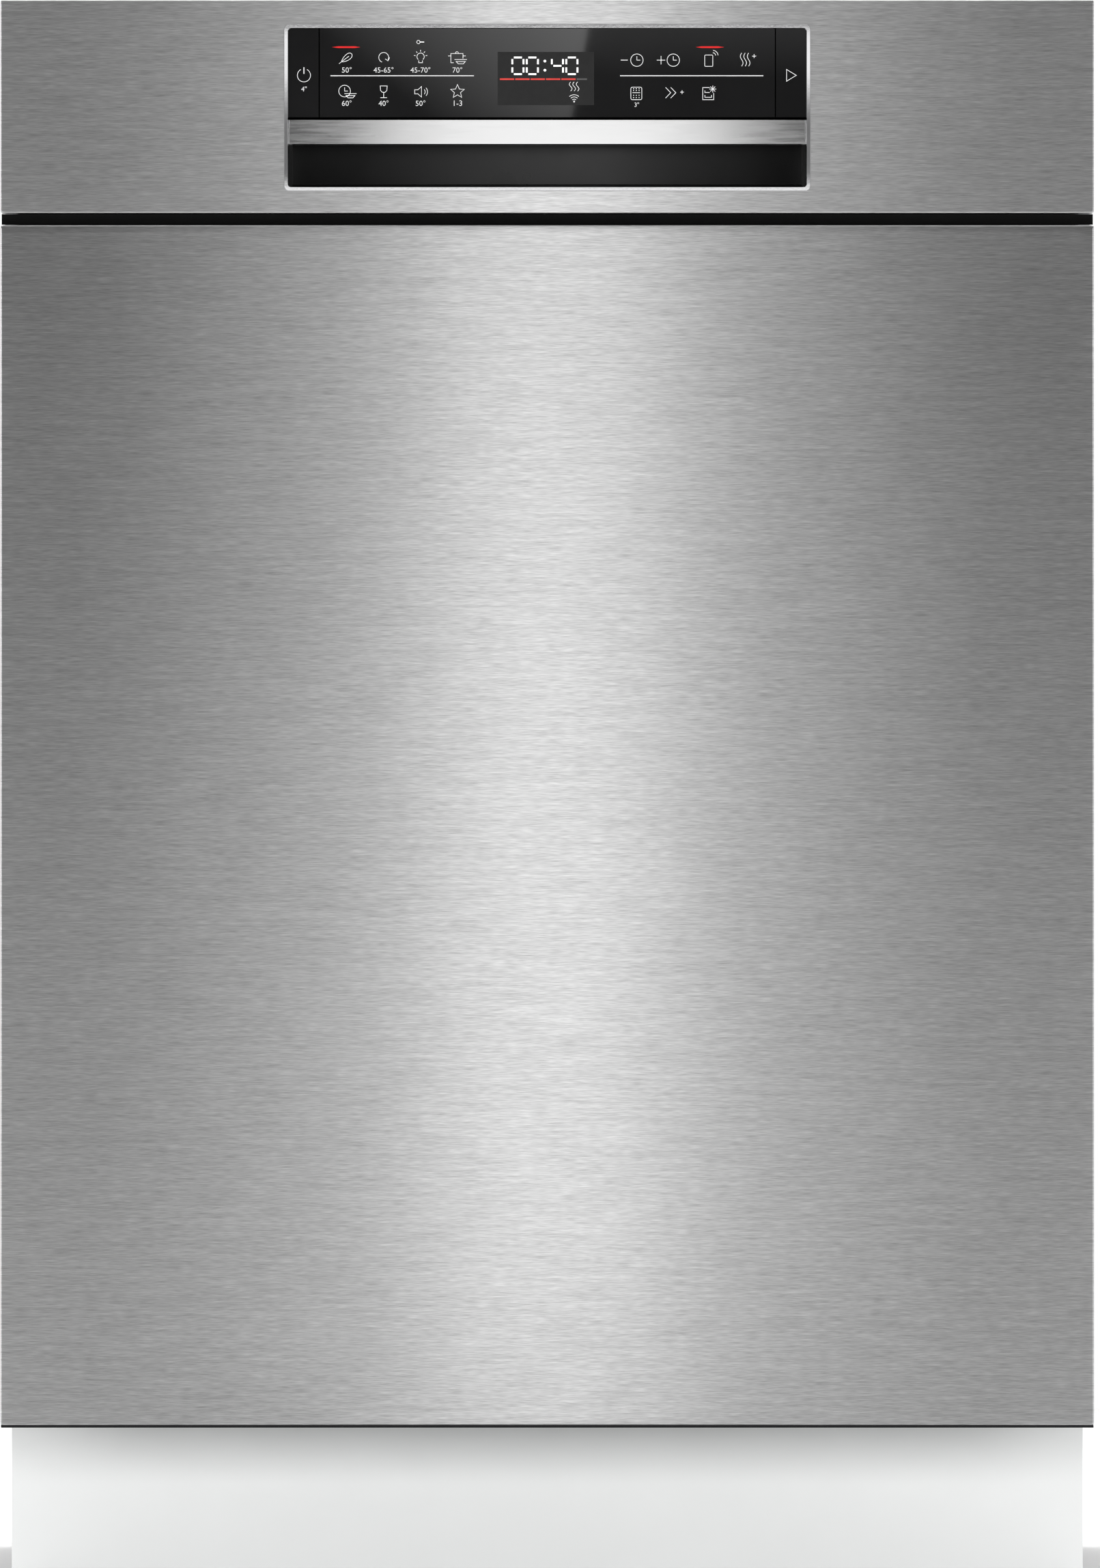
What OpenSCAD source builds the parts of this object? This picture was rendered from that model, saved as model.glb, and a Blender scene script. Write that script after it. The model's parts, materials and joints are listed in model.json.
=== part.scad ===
// Built-in dishwasher, 60 cm wide, under-worktop format with the tall tub.
// Frame: X across the front (right is +X), the front faces -Y, Z is up, the floor is z = 0.
// The door is shut and the racks are home. Units are millimetres.

/* [Cabinet] */
// Overall width, across the door
cabinet_w = 598; // [596:1:600]
// Overall depth, front to back
cabinet_d = 573; // [570:1:580]
// Overall height with the feet wound in
cabinet_h = 865; // [860:1:870]
// Height of the toe space under the door
toe_h = 84.5; // [80:0.5:86]
// How far the plinth stands back from the door
plinth_recess = 92; // [90:1:96]
// Width of the plinth
plinth_w = 590; // [580:1:592]

/* [Door] */
// Height of the control fascia
fascia_h = 116.5; // [112:0.5:120]
// Shadow gap between the fascia and the door panel
fascia_gap = 6.5; // [3:0.5:8]
// Thickness of the door, outer skin to inner liner
door_t = 56; // [54:1:58]
// Height of the hinge axis above the floor
hinge_z = 130; // [128:1:132]
// Hinge axis behind the outer skin
hinge_setback = 40; // [38:1:42]
// Radius of the hinge pins
hinge_pin_r = 4; // [3:0.5:5]
// Running clearance on a radius
running_gap = 0.06; // [0.02:0.01:0.1]

/* [Control unit] */
// Outer width of the bezel
unit_w = 288; // [270:1:300]
// Outer height of the bezel
unit_h = 91.4; // [88:0.2:94]
// Bezel below the top of the fascia
unit_drop = 13.1; // [12:0.1:14]
// Width of the bezel rim
rim = 2.4; // [1.5:0.1:3]
// How far the bezel stands proud of the fascia
bezel_proud = 1.5; // [1:0.1:2]
// Radius of the bezel's outer corners
bezel_r = 3; // [2:0.5:6]
// Height of the black glass
glass_h = 48.8; // [46:0.2:50]
// Height of the grip strip
strip_h = 15; // [12:0.5:16]
// Width of each end key
key_w = 15.2; // [12:0.2:18]

/* [Tub] */
// Inner width of the tub
tub_w = 550; // [546:1:552]
// Tub floor above the floor
tub_floor = 150; // [150:1:152]
// Tub ceiling above the floor
tub_top = 835; // [830:1:838]
// Tub wall
tub_t = 0.8; // [0.6:0.1:1.5]
// Inner corner radius of the tub
tub_r = 24; // [15:1:30]

/* [Racks] */
// Width of the racks
rack_w = 512; // [500:1:514]
// Wire thickness
wire = 4; // [3:0.5:5]
// Underside of the lower rack
lower_z = 195; // [192:1:198]
// Underside of the upper rack
upper_z = 500; // [495:1:505]
// Underside of the cutlery drawer
cutlery_z = 748; // [745:1:752]
// Length of the folding tines
tine_h = 112; // [90:1:114]

/* [Hidden] */

$fn = 48;
sheet = 0.8;     // folded outer sheet metal
pressing = 0.4;  // depth of a pressed relief in a sheet
seat_gap = 0.4;  // air between pieces that are clipped or sealed together
fold_gap = 1.2;  // air under the rod of a folding row

// Cabinet
half_w = cabinet_w/2;
front = -cabinet_d/2;
back = cabinet_d/2;
body_half = half_w - 1;         // the cabinet is 1 mm narrower than the door each side
rear_y = back - 2.5;            // outer face of the rear panel, screw heads stand proud
lid_z = cabinet_h - 5;          // outer face of the top cover, below the fascia's top
skirt_z = 120;                  // lower edge of the side panels
base_half = plinth_w/2 - 5;
base_floor = 22;
base_wall = 3;
base_rim = 117;
plinth_y = front + bezel_proud + plinth_recess;
plinth_t = 5;
plinth_top = 104;
base_front = plinth_y + plinth_t;

// Door
skin_y = front + bezel_proud;
return_d = 22;                  // depth of the folded edges of the skins
hem = 7.6;                      // inward hem that meets the liner's flange
fascia_z = cabinet_h - fascia_h;
panel_top = fascia_z - fascia_gap;
panel_bottom = toe_h;
liner_y = skin_y + door_t;      // inner face of the door
liner_t = 0.8;
liner_half = half_w - 8;
liner_foot_half = 276;          // narrow part between the hinge brackets
liner_foot_top = 166;
liner_bottom = hinge_z - 8;
liner_top = cabinet_h - 12;
hinge_y = skin_y + hinge_setback;
arm_x = 270;
arm_t = 6;
bracket_x = 280;
bracket_t = 4;

// Control unit
unit_top = cabinet_h - unit_drop;
unit_bottom = unit_top - unit_h;
inner_top = unit_top - rim;
inner_bottom = unit_bottom + rim;
inner_half = unit_w/2 - rim;
glass_bottom = inner_top - glass_h;
strip_bottom = glass_bottom - strip_h;
glass_half = inner_half - key_w - 2;
glass_y = skin_y - 0.6;         // the glass lies between the fascia and the bezel's edge
unit_back = skin_y + 17;
inner_r = bezel_r - 1.4;        // corners of the bezel's opening
cup_back = skin_y + 38;
cup_wall = 2;
cup_roof = glass_bottom - 3;    // the finger space runs up behind the grip strip

// Dispenser in the liner
disp_low = [-20, 305];
disp_high = [175, 535];
disp_proud = 4;
disp_depth = 30;
cup_low = [8, 402];             // detergent chamber
cup_high = [88, 482];
cap_x = 138;                    // rinse-aid filler
cap_z = 430;
cap_r = 19;
lid_t = 3;

// Tub
tub_half = tub_w/2;
tub_front = liner_y + 3;
tub_back = back - 24.5;
flange_half = liner_half - 1;
flange_top = liner_top - 2;
sump_x = 40;
sump_y = -22;
sump_r = 105;
sump_top = tub_floor + 1.5;
arm_hub = [0, 15];
hub_r = 12;
filter_x = 78;
filter_y = -58;
filter_r = 34;
salt_x = -190;
salt_y = 120;
salt_r = 34;

// Racks: home positions and rails
rack_half = rack_w/2;
rack_front = liner_y + 29;
lower_front = liner_y + 85;     // floor of the lower rack, its front wall leans forward
rack_back = 238;
lower_h = 200;
upper_h = 150;
cutlery_h = 42;
rail_z = [212, 565, 764];
rail_h = 18;
rail_len = 400;
rail_back = 232;
runner_half = rack_half + 6.5;
mesh_x = 56;                    // spacing of the rack wires
mesh_y = 60;
riser_y = 244;
riser_half = 16;

// Water, mains and springs in the base
fitting_x = 230;                // the inlet is on the left and the drain on the right
fitting_z = 70;
socket_x = 160;
spring_x = 268;
spring_z = 70;
spring_r = 10;
pump_y = 60;
pump_z = 92;
drain_pump_x = 60;
drain_pump_z = 66;
hole_x = 22;                    // half width of the cut-outs in the rear wall
hole_low = 44;
hole_high = 96;

// Feet
foot_x = 250;
foot_front_y = base_front + 26;
foot_rear_y = back - 32;
stud_r = 5;
boss_r = 14;
boss_top = 104;
pad_r = 21;
pad_h = 9;

// ---- shared shapes ----

module block(low, high) { translate(low) cube(high - low); }

module rounded(w, h, r) {
    square([w - 2*r, h], center = true);
    square([w, h - 2*r], center = true);
    for (sx = [-1, 1], sz = [-1, 1])
        translate([sx*(w/2 - r), sz*(h/2 - r)]) circle(r);
}

// A plate that faces the front: rounded corners in XZ, thick along Y
module panel(low, high, r) {
    size = high - low;
    translate([(low.x + high.x)/2, high.y, (low.z + high.z)/2])
        rotate([90, 0, 0]) linear_extrude(size.y) rounded(size.x, size.z, r);
}

module both_sides() { children(); mirror([1, 0, 0]) children(); }

module rod_x(x0, x1, y, z, r) { translate([x0, y, z]) rotate([0, 90, 0]) cylinder(h = x1 - x0, r = r); }

module rod_y(y0, y1, x, z, r) { translate([x, y1, z]) rotate([90, 0, 0]) cylinder(h = y1 - y0, r = r); }

module rod_z(z0, z1, x, y, r) { translate([x, y, z0]) cylinder(h = z1 - z0, r = r); }

// A flat grille of square-section wires, w by h, drawn in XY with its centre at the origin
module grille(w, h, nx, ny, t = wire) {
    pitch_x = (w - t)/nx;
    pitch_y = (h - t)/ny;
    linear_extrude(t) difference() {
        square([w, h], center = true);
        for (i = [0:nx - 1], j = [0:ny - 1])
            translate([-w/2 + t + i*pitch_x, -h/2 + t + j*pitch_y])
                square([pitch_x - t, pitch_y - t]);
    }
}

// A comb: a rod along X with upright tines, centred, its rod's axis at the origin
module comb(w, h, n, t = wire) {
    pitch = (w - t)/(n - 1);
    translate([0, t/2, 0]) rotate([90, 0, 0]) linear_extrude(t) {
        translate([-w/2, -t/2]) square([w, t]);
        for (i = [0:n - 1]) translate([-w/2 + i*pitch, -t/2]) square([t, h]);
    }
}

// A folded sheet pan that is open to the back, with an inward hem
module skin_pan(z0, z1) {
    y1 = skin_y + return_d;
    difference() {
        block([-half_w, skin_y, z0], [half_w, y1, z1]);
        block([-half_w + sheet, skin_y + sheet, z0 + sheet],
            [half_w - sheet, y1 - sheet, z1 - sheet]);
        block([-half_w + hem, y1 - 2*sheet, z0 + hem], [half_w - hem, y1 + 1, z1 - hem]);
    }
}

// ---- cabinet ----

module base_tray() {
    color("dimgray") difference() {
        union() {
            block([-base_half, base_front, base_floor], [base_half, rear_y - 2, base_floor + base_wall]);
            block([-base_half, base_front, base_floor], [base_half, base_front + base_wall, base_rim]);
            block([-base_half, rear_y - 5, base_floor], [base_half, rear_y - 2, base_rim]);
            both_sides()
                block([base_half - base_wall, base_front, base_floor], [base_half, rear_y - 2, base_rim]);
            both_sides() rod_z(base_floor, boss_top, foot_x, foot_front_y, boss_r);
            rod_z(base_floor, boss_top, 0, foot_rear_y, boss_r);
        }
        both_sides() rod_z(base_floor - 1, boss_top + 1, foot_x, foot_front_y, stud_r + running_gap);
        rod_z(base_floor - 1, boss_top + 1, 0, foot_rear_y, stud_r + running_gap);
        // cut-outs in the rear wall for the water inlet, the drain and the mains socket
        both_sides() block([fitting_x - hole_x, rear_y - 6, hole_low], [fitting_x + hole_x, rear_y, hole_high]);
        block([socket_x - hole_x, rear_y - 6, hole_low], [socket_x + hole_x, rear_y, hole_high - 12]);
    }
}

module plinth_panel() {
    color("whitesmoke") {
        block([-plinth_w/2, plinth_y, 2], [plinth_w/2, plinth_y + plinth_t - seat_gap, plinth_top]);
    }
}

module side_panel(side) {
    fold = 14;
    x1 = body_half;
    color("gainsboro") mirror([side < 0 ? 1 : 0, 0, 0]) {
        block([x1 - sheet, tub_front + 2, skirt_z], [x1, rear_y - 2, lid_z - 2]);
        block([x1 - fold, rear_y - 2 - sheet, skirt_z], [x1, rear_y - 2, lid_z - 2]);
    }
}

module side_panel_left() { side_panel(-1); }

module side_panel_right() { side_panel(1); }

module rear_panel() {
    color("lightgray") difference() {
        block([-body_half + 2, rear_y - sheet, base_rim + 2], [body_half - 2, rear_y, lid_z - 2]);
        // pressed relief panel
        panel([-220, rear_y - pressing, 190], [220, rear_y + 1, 780], 20);
    }
}

module top_cover() {
    color("silver") difference() {
        block([-body_half + 2, tub_front + 30, lid_z - sheet], [body_half - 2, rear_y - 0.2, lid_z]);
        block([-200, -120, lid_z - pressing], [200, 210, lid_z + 1]);
    }
}

module front_frame() {
    x0 = flange_half + 1.4;
    color("darkgray") {
        both_sides() block([x0, tub_front + 2, skirt_z + 2], [body_half - sheet - 0.2, tub_front + 26, lid_z - 3]);
        block([-x0, tub_front + 2, flange_top - 7], [x0, tub_front + 26, lid_z - 3]);
        block([-bracket_x + 2, tub_front + 2, hinge_z - 4], [bracket_x - 2, tub_front + 26, tub_floor - 2]);
    }
}

module worktop_brackets() {
    color("silver") both_sides() difference() {
        block([165, tub_front + 3, lid_z - 3], [195, tub_front + 29, lid_z + 1]);
        rod_z(lid_z - 4, lid_z + 2, 180, tub_front + 16, 2.5);
    }
}

module tub() {
    w = tub_w + 2*tub_t;
    color("lightsteelblue") difference() {
        union() {
            panel([-w/2, tub_front, tub_floor], [w/2, tub_back, tub_top + tub_t], tub_r + tub_t);
            panel([-flange_half, tub_front, tub_floor], [flange_half, tub_front + tub_t, flange_top], 6);
        }
        panel([-tub_half, tub_front - 1, tub_floor + tub_t], [tub_half, tub_back - tub_t, tub_top], tub_r);
        rod_z(tub_floor - 1, tub_floor + 3, sump_x, sump_y, sump_r - 6);
        rod_z(tub_floor - 1, tub_floor + 3, salt_x, salt_y, salt_r + 1);
        block([-riser_half - 1, riser_y - 1, tub_floor - 1], [riser_half + 1, tub_back + 1, tub_floor + 3]);
    }
}

module tub_seal() {
    y1 = tub_front - 0.05;
    color("dimgray") difference() {
        panel([-flange_half + 2, liner_y + seat_gap, tub_floor + 4], [flange_half - 2, y1, flange_top - 2], 8);
        panel([-tub_half - 2, liner_y - 1, tub_floor - 40], [tub_half + 2, y1 + 1, tub_top + 3], tub_r);
    }
}

module lower_seal() {
    color("dimgray")
        block([-liner_foot_half + 6, liner_y + seat_gap, hinge_z + 10],
            [liner_foot_half - 6, tub_front + 1.9, tub_floor - 1]);
}

module insulation_mats() {
    color("dimgray") {
        block([tub_half + 4, -190, 200], [tub_half + 16, 250, 800]);
        block([-240, -180, tub_top + 3], [240, 250, tub_top + 14]);
    }
}

module heat_exchanger() {
    color("white") {
        block([-body_half + 3, -120, 260], [-tub_half - 4, 200, 690]);
        block([-body_half + 3, 120, 160], [-tub_half - 4, 170, 260]);
    }
}

module sump() {
    color("gray") difference() {
        union() {
            rod_z(70, tub_floor - 0.2, sump_x, sump_y, sump_r - 12);
            rod_z(110, sump_top + 12, arm_hub.x, arm_hub.y, 20);
            rod_z(110, sump_top + 34, arm_hub.x, arm_hub.y, hub_r);
            rod_z(sump_top + 34, sump_top + 37, arm_hub.x, arm_hub.y, hub_r + 4);
        }
        difference() {
            rod_z(76, tub_floor + 1, sump_x, sump_y, sump_r - 16);
            rod_z(70, tub_floor + 2, arm_hub.x, arm_hub.y, 24);
        }
    }
}

module filter_plate() {
    z0 = tub_floor + tub_t + 0.2;
    color("silver") difference() {
        rod_z(z0, z0 + 2, sump_x, sump_y, sump_r);
        rod_z(z0 - 1, z0 + 3, arm_hub.x, arm_hub.y, 21);
        rod_z(z0 - 1, z0 + 3, filter_x, filter_y, filter_r + 1);
    }
}

module circulation_pump() {
    color("dimgray") {
        rod_x(150, 230, pump_y, pump_z, 40);
        rod_x(138, 150, pump_y, pump_z, 48);
        rod_x(230, 252, pump_y, pump_z, 26);
    }
}

module drain_pump() {
    color("dimgray") {
        rod_y(-170, -130, drain_pump_x, drain_pump_z, 22);
        rod_y(-178, -170, drain_pump_x, drain_pump_z, 28);
        block([drain_pump_x - 18, -130, drain_pump_z - 18], [drain_pump_x + 18, -118, drain_pump_z + 18]);
    }
}

module softener() {
    color("whitesmoke") difference() {
        union() {
            block([-255, 30, 40], [-110, 215, 128]);
            rod_z(100, tub_floor - 0.2, salt_x, salt_y, salt_r + 6);
        }
        rod_z(52, tub_floor + 1, salt_x, salt_y, salt_r - 8);
    }
}

module inlet_valve() {
    color("white") {
        block([-fitting_x - 18, back - 44, fitting_z - 22], [-fitting_x + 18, rear_y - 8, fitting_z + 22]);
        rod_y(rear_y - 8, back, -fitting_x, fitting_z, 13.2);
    }
}

module drain_spigot() {
    color("dimgray") {
        rod_y(back - 44, rear_y - 8, fitting_x, fitting_z, 16);
        rod_y(rear_y - 8, back, fitting_x, fitting_z, 10);
    }
}

module mains_socket() {
    y1 = back - 1.5;
    color("black") {
        difference() {
            block([socket_x - 16, y1 - 24, 50], [socket_x + 16, y1, 78]);
            block([socket_x - 13, y1 - 16, 54], [socket_x + 13, y1 + 1, 74]);
        }
        for (pin = [-7, 0, 7]) block([socket_x + pin - 1, y1 - 17, 61], [socket_x + pin + 1, y1 - 8, 67]);
    }
}

module feed_riser() {
    roof = tub_top - 0.6;
    color("white") {
        block([-riser_half, riser_y, tub_floor - 30], [riser_half, tub_back - 2, roof]);
        block([-riser_half, arm_hub.y - 14, roof - 12], [riser_half, riser_y + 2, roof]);
        rod_z(roof - 24, roof - 1, arm_hub.x, arm_hub.y, 42);
    }
}

// Fixed halves of the slides for the three racks
module rack_rails() {
    color("lightgray") both_sides() for (z = rail_z)
        difference() {
            block([runner_half + 1, rail_back - rail_len, z], [tub_half - 0.4, rail_back, z + rail_h]);
            block([runner_half, rail_back - rail_len - 1, z + 4], [runner_half + 5, rail_back + 1, z + rail_h - 4]);
        }
}

module hinge_brackets() {
    color("gray") both_sides() {
        block([bracket_x, hinge_y - 12, hinge_z - 12], [bracket_x + bracket_t, base_front + 44, hinge_z + 12]);
        block([bracket_x, base_front + base_wall + 1, 60], [bracket_x + bracket_t, base_front + 44, hinge_z + 12]);
    }
}

module hinge_pins() {
    color("silver") both_sides() rod_x(arm_x - 3, bracket_x, hinge_y, hinge_z, hinge_pin_r);
}

module door_springs() {
    color("silver") both_sides() difference() {
        rod_y(base_front + 60, base_front + 190, spring_x, spring_z, spring_r);
        rod_y(base_front + 59, base_front + 191, spring_x, spring_z, spring_r - 3);
    }
}

module latch_striker() {
    color("silver") difference() {
        block([-12, liner_y - 12, liner_top + 2], [12, tub_front + 1.8, liner_top + 5]);
        block([-7, liner_y - 8, liner_top + 1], [7, liner_y - 3, liner_top + 6]);
    }
}

module body_screws() {
    color("silver") {
        for (x = [-280, 0, 280], z = [126, 480, 845]) rod_y(rear_y, back - 0.4, x, z, 4.5);
        both_sides() for (y = [-120, 60, 240]) rod_x(body_half, body_half + 0.8, y, 132, 4);
    }
}

// ---- door ----

module door_panel() { color("silver") skin_pan(panel_bottom, panel_top); }

module control_fascia() {
    color("silver") difference() {
        skin_pan(fascia_z, cabinet_h);
        panel([-unit_w/2 + 1, skin_y - 1, unit_bottom + 1], [unit_w/2 - 1, skin_y + 3, unit_top - 1], bezel_r - 0.8);
    }
}

// Frame behind the fascia, with a blade that closes the shadow gap from behind
module fascia_carrier() {
    y0 = skin_y + sheet + 0.3;
    blade_y = skin_y + 8;
    color("black") {
        block([-half_w + 0.5, blade_y, panel_top + seat_gap], [half_w - 0.5, blade_y + 2.5, fascia_z - seat_gap]);
        both_sides() block([half_w - 13, blade_y, panel_top + seat_gap], [half_w - 10, skin_y + 24, fascia_z - seat_gap]);
    }
    color("black") difference() {
        block([-half_w + 10, y0 + 14, panel_top - 6], [half_w - 10, skin_y + 44, liner_top - 2]);
        block([-half_w + 13, y0, panel_top - 3], [half_w - 13, skin_y + 41, liner_top - 5]);
        block([-half_w, y0, panel_top - 30], [half_w, skin_y + return_d + 0.4, fascia_z + hem + 1]);
        block([-half_w, y0, cabinet_h - hem - 1], [half_w, skin_y + return_d + 0.4, cabinet_h]);
        block([-half_w, y0, 0], [-half_w + hem + 3, skin_y + return_d + 0.4, cabinet_h]);
        block([half_w - hem - 3, y0, 0], [half_w, skin_y + return_d + 0.4, cabinet_h]);
        block([-28, skin_y + 20, liner_top - 8], [28, skin_y + 50, liner_top]);
        block([-unit_w/2 - 1, y0, unit_bottom - 1], [unit_w/2 + 1, unit_back + 0.5, unit_top + 1]);
    }
}

module bezel() {
    color("silver") difference() {
        panel([-unit_w/2, front, unit_bottom], [unit_w/2, skin_y - 0.02, unit_top], bezel_r);
        panel([-inner_half, front - 1, inner_bottom], [inner_half, skin_y + 1, inner_top], inner_r);
    }
    color("silver") difference() {
        panel([-unit_w/2 + 1.2, skin_y - 0.02, unit_bottom + 1.2], [unit_w/2 - 1.2, unit_back, unit_top - 1.2], bezel_r - 1);
        panel([-inner_half, skin_y - 1, inner_bottom], [inner_half, unit_back + 1, inner_top], inner_r);
    }
}

module control_glass() {
    color("black")
        block([-glass_half, glass_y, glass_bottom + seat_gap/2], [glass_half, glass_y + 3, inner_top - seat_gap/2]);
}

// An end key: a glass-faced plate on a stem, inside the bezel's rounded corner
module end_key(side) {
    x0 = glass_half + 0.6;
    x1 = inner_half - 0.3;
    color("black") mirror([side < 0 ? 1 : 0, 0, 0]) {
        difference() {
            panel([x0 - 8, glass_y, glass_bottom - 8], [x1, glass_y + 3, inner_top - seat_gap/2], inner_r - 0.3);
            block([x0 - 9, glass_y - 1, glass_bottom - 9], [x0, glass_y + 4, inner_top + 1]);
            block([x0 - 9, glass_y - 1, glass_bottom - 9], [x1 + 1, glass_y + 4, glass_bottom + seat_gap/2]);
        }
        block([x0 + 4, glass_y + 2.9, glass_bottom + 18], [x1 - 4, glass_y + 10, inner_top - 18]);
    }
}

module power_button() { end_key(-1); }

module start_button() { end_key(1); }

// Gently crowned strip that the fingers pull on
module handle_strip() {
    zc = (glass_bottom + strip_bottom)/2;
    half = strip_h/2 - 0.1;
    color("whitesmoke") intersection() {
        block([-inner_half + 0.2, front - 0.2, zc - half], [inner_half - 0.2, skin_y + 6, zc + half]);
        rod_x(-inner_half + 0.2, inner_half - 0.2, front + 0.2 + 30, zc, 30);
    }
}

module handle_recess() {
    color("black") difference() {
        union() {
            panel([-inner_half + 0.2, glass_y + 0.4, inner_bottom + 0.2], [inner_half - 0.2, cup_back, strip_bottom - 0.2], inner_r - 0.2);
            block([-inner_half + 0.2, skin_y + 7, inner_bottom + 8], [inner_half - 0.2, cup_back, cup_roof + cup_wall]);
        }
        panel([-inner_half + 2, glass_y - 1, inner_bottom + 1.8], [inner_half - 2, cup_back - cup_wall, strip_bottom + 2], 1);
        block([-inner_half + 2, skin_y + 7 + cup_wall, inner_bottom + 8], [inner_half - 2, cup_back - cup_wall, cup_roof]);
    }
}

module control_module() {
    color("darkgreen")
        block([-glass_half + 2, glass_y + 4, glass_bottom + 4], [glass_half - 2, unit_back - 1, inner_top - 3]);
}

module door_liner() {
    y0 = liner_y - liner_t;
    flange_y = skin_y + return_d + 0.5;
    color("lightsteelblue") difference() {
        union() {
            block([-liner_half, y0, liner_foot_top], [liner_half, liner_y, liner_top]);
            block([-liner_foot_half, y0, liner_bottom], [liner_foot_half, liner_y, liner_foot_top + 1]);
            both_sides() block([liner_half - liner_t, flange_y, liner_foot_top], [liner_half, liner_y, liner_top]);
            block([-liner_half, flange_y, liner_top - liner_t], [liner_half, liner_y, liner_top]);
        }
        block([disp_low.x, y0 - 1, disp_low.y], [disp_high.x, liner_y + 1, disp_high.y]);
        block([-28, flange_y - 1, liner_top - 3], [28, liner_y - 8, liner_top + 1]);
        // pressed relief around the middle of the liner
        difference() {
            panel([-235, liner_y - pressing, 200], [235, liner_y + 1, 800], 30);
            panel([-229, liner_y - 2, 206], [229, liner_y + 2, 794], 24);
        }
    }
}

module door_insulation() {
    y1 = liner_y - liner_t - 1;
    color("dimgray") difference() {
        block([-262, skin_y + sheet + 1, 160], [262, y1, panel_top - 10]);
        block([disp_low.x - 6, liner_y - disp_depth - 6, disp_low.y - 6], [disp_high.x + 6, y1 + 1, disp_high.y + 6]);
    }
}

module hinge_arms() {
    color("gray") both_sides() difference() {
        union() {
            rod_x(arm_x, arm_x + arm_t, hinge_y, hinge_z, 11);
            block([arm_x, hinge_y - 11, hinge_z], [arm_x + arm_t, hinge_y + 9, 320]);
        }
        rod_x(arm_x - 1, arm_x + arm_t + 1, hinge_y, hinge_z, hinge_pin_r + running_gap);
    }
}

module door_latch() {
    z0 = liner_top - 7.4;
    color("black") difference() {
        block([-26, skin_y + 24, z0], [26, liner_y - 8.6, cabinet_h - 2.5]);
        block([-15, liner_y - 16, liner_top - 0.5], [15, liner_y - 7, liner_top + 7.5]);
    }
}

module dispenser() {
    y0 = liner_y - disp_depth;
    y1 = liner_y + disp_proud;
    inset = 0.3;
    color("gray") difference() {
        union() {
            panel([disp_low.x + inset, y0, disp_low.y + inset], [disp_high.x - inset, liner_y, disp_high.y - inset], 4);
            panel([disp_low.x - 8, liner_y + 0.1, disp_low.y - 8], [disp_high.x + 8, y1, disp_high.y + 8], 10);
            panel([disp_low.x + inset, liner_y - 1, disp_low.y + inset], [disp_high.x - inset, liner_y + 1, disp_high.y - inset], 4);
        }
        panel([cup_low.x, y0 + 3, cup_low.y], [cup_high.x, y1 + 1, cup_high.y], 8);
        rod_y(y0 + 3, y1 + 1, cap_x, cap_z, cap_r - 5);
    }
}

module dispenser_lid() {
    y0 = liner_y + disp_proud + 0.4;
    color("lightgray") panel([cup_low.x - 5, y0, cup_low.y - 5], [cup_high.x + 5, y0 + lid_t, cup_high.y + 5], 8);
}

module rinse_aid_cap() {
    y0 = liner_y + disp_proud + 0.4;
    color("lightgray") {
        rod_y(y0, y0 + lid_t, cap_x, cap_z, cap_r);
        block([cap_x - 6, y0, cap_z + cap_r - 4], [cap_x + 6, y0 + lid_t, cap_z + cap_r + 3]);
    }
}

// ---- racks ----

// Runners that a rack carries in its rails
module runners(z) {
    both_sides() {
        block([runner_half - 2.5, rail_back - rail_len + 4, z + 5], [runner_half + 4.4, rail_back - 2, z + rail_h - 5]);
        block([rack_half + 0.2, rail_back - rail_len + 4, z + 2], [runner_half - 2.5, rail_back - 2, z + rail_h - 2]);
    }
}

module rack_floor(y0, y1, z) {
    ny = round((y1 - y0)/mesh_y);
    translate([0, (y0 + y1)/2, z]) grille(rack_w, y1 - y0, round(rack_w/mesh_x), ny);
}

module rack_side(y0, y1, z0, h) {
    both_sides() translate([rack_half - wire, (y0 + y1)/2, z0 + h/2]) rotate([90, 0, 90])
        grille(y1 - y0, h, round((y1 - y0)/mesh_y), 3);
}

module rack_end(y, z0, h, lean = 0) {
    translate([0, y, z0]) rotate([90 + lean, 0, 0]) translate([0, h/2, 0])
        grille(rack_w - 2*wire - 1, h, round(rack_w/mesh_x), 3);
}

module lower_rack() {
    z1 = lower_z + wire + 0.3;
    lean = atan((lower_front - rack_front)/lower_h);
    color("silver") {
        rack_floor(lower_front, rack_back, lower_z);
        rack_side(lower_front + 14, rack_back, z1, lower_h - 40);
        rack_end(rack_back, z1, lower_h);
        rack_end(lower_front + 5, z1 + 1, lower_h/cos(lean) - 26, lean);
        translate([0, 40, z1 + wire/2]) comb(rack_w - 60, tine_h, 13);
    }
    color("dimgray") runners(rail_z[0]);
}

module lower_tines_front() {
    color("silver") translate([0, -22, lower_z + wire + fold_gap + wire/2]) comb(rack_w - 60, tine_h, 13);
}

module lower_tines_rear() {
    color("silver") translate([0, 102, lower_z + wire + fold_gap + wire/2]) comb(rack_w - 60, tine_h, 13);
}

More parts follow.
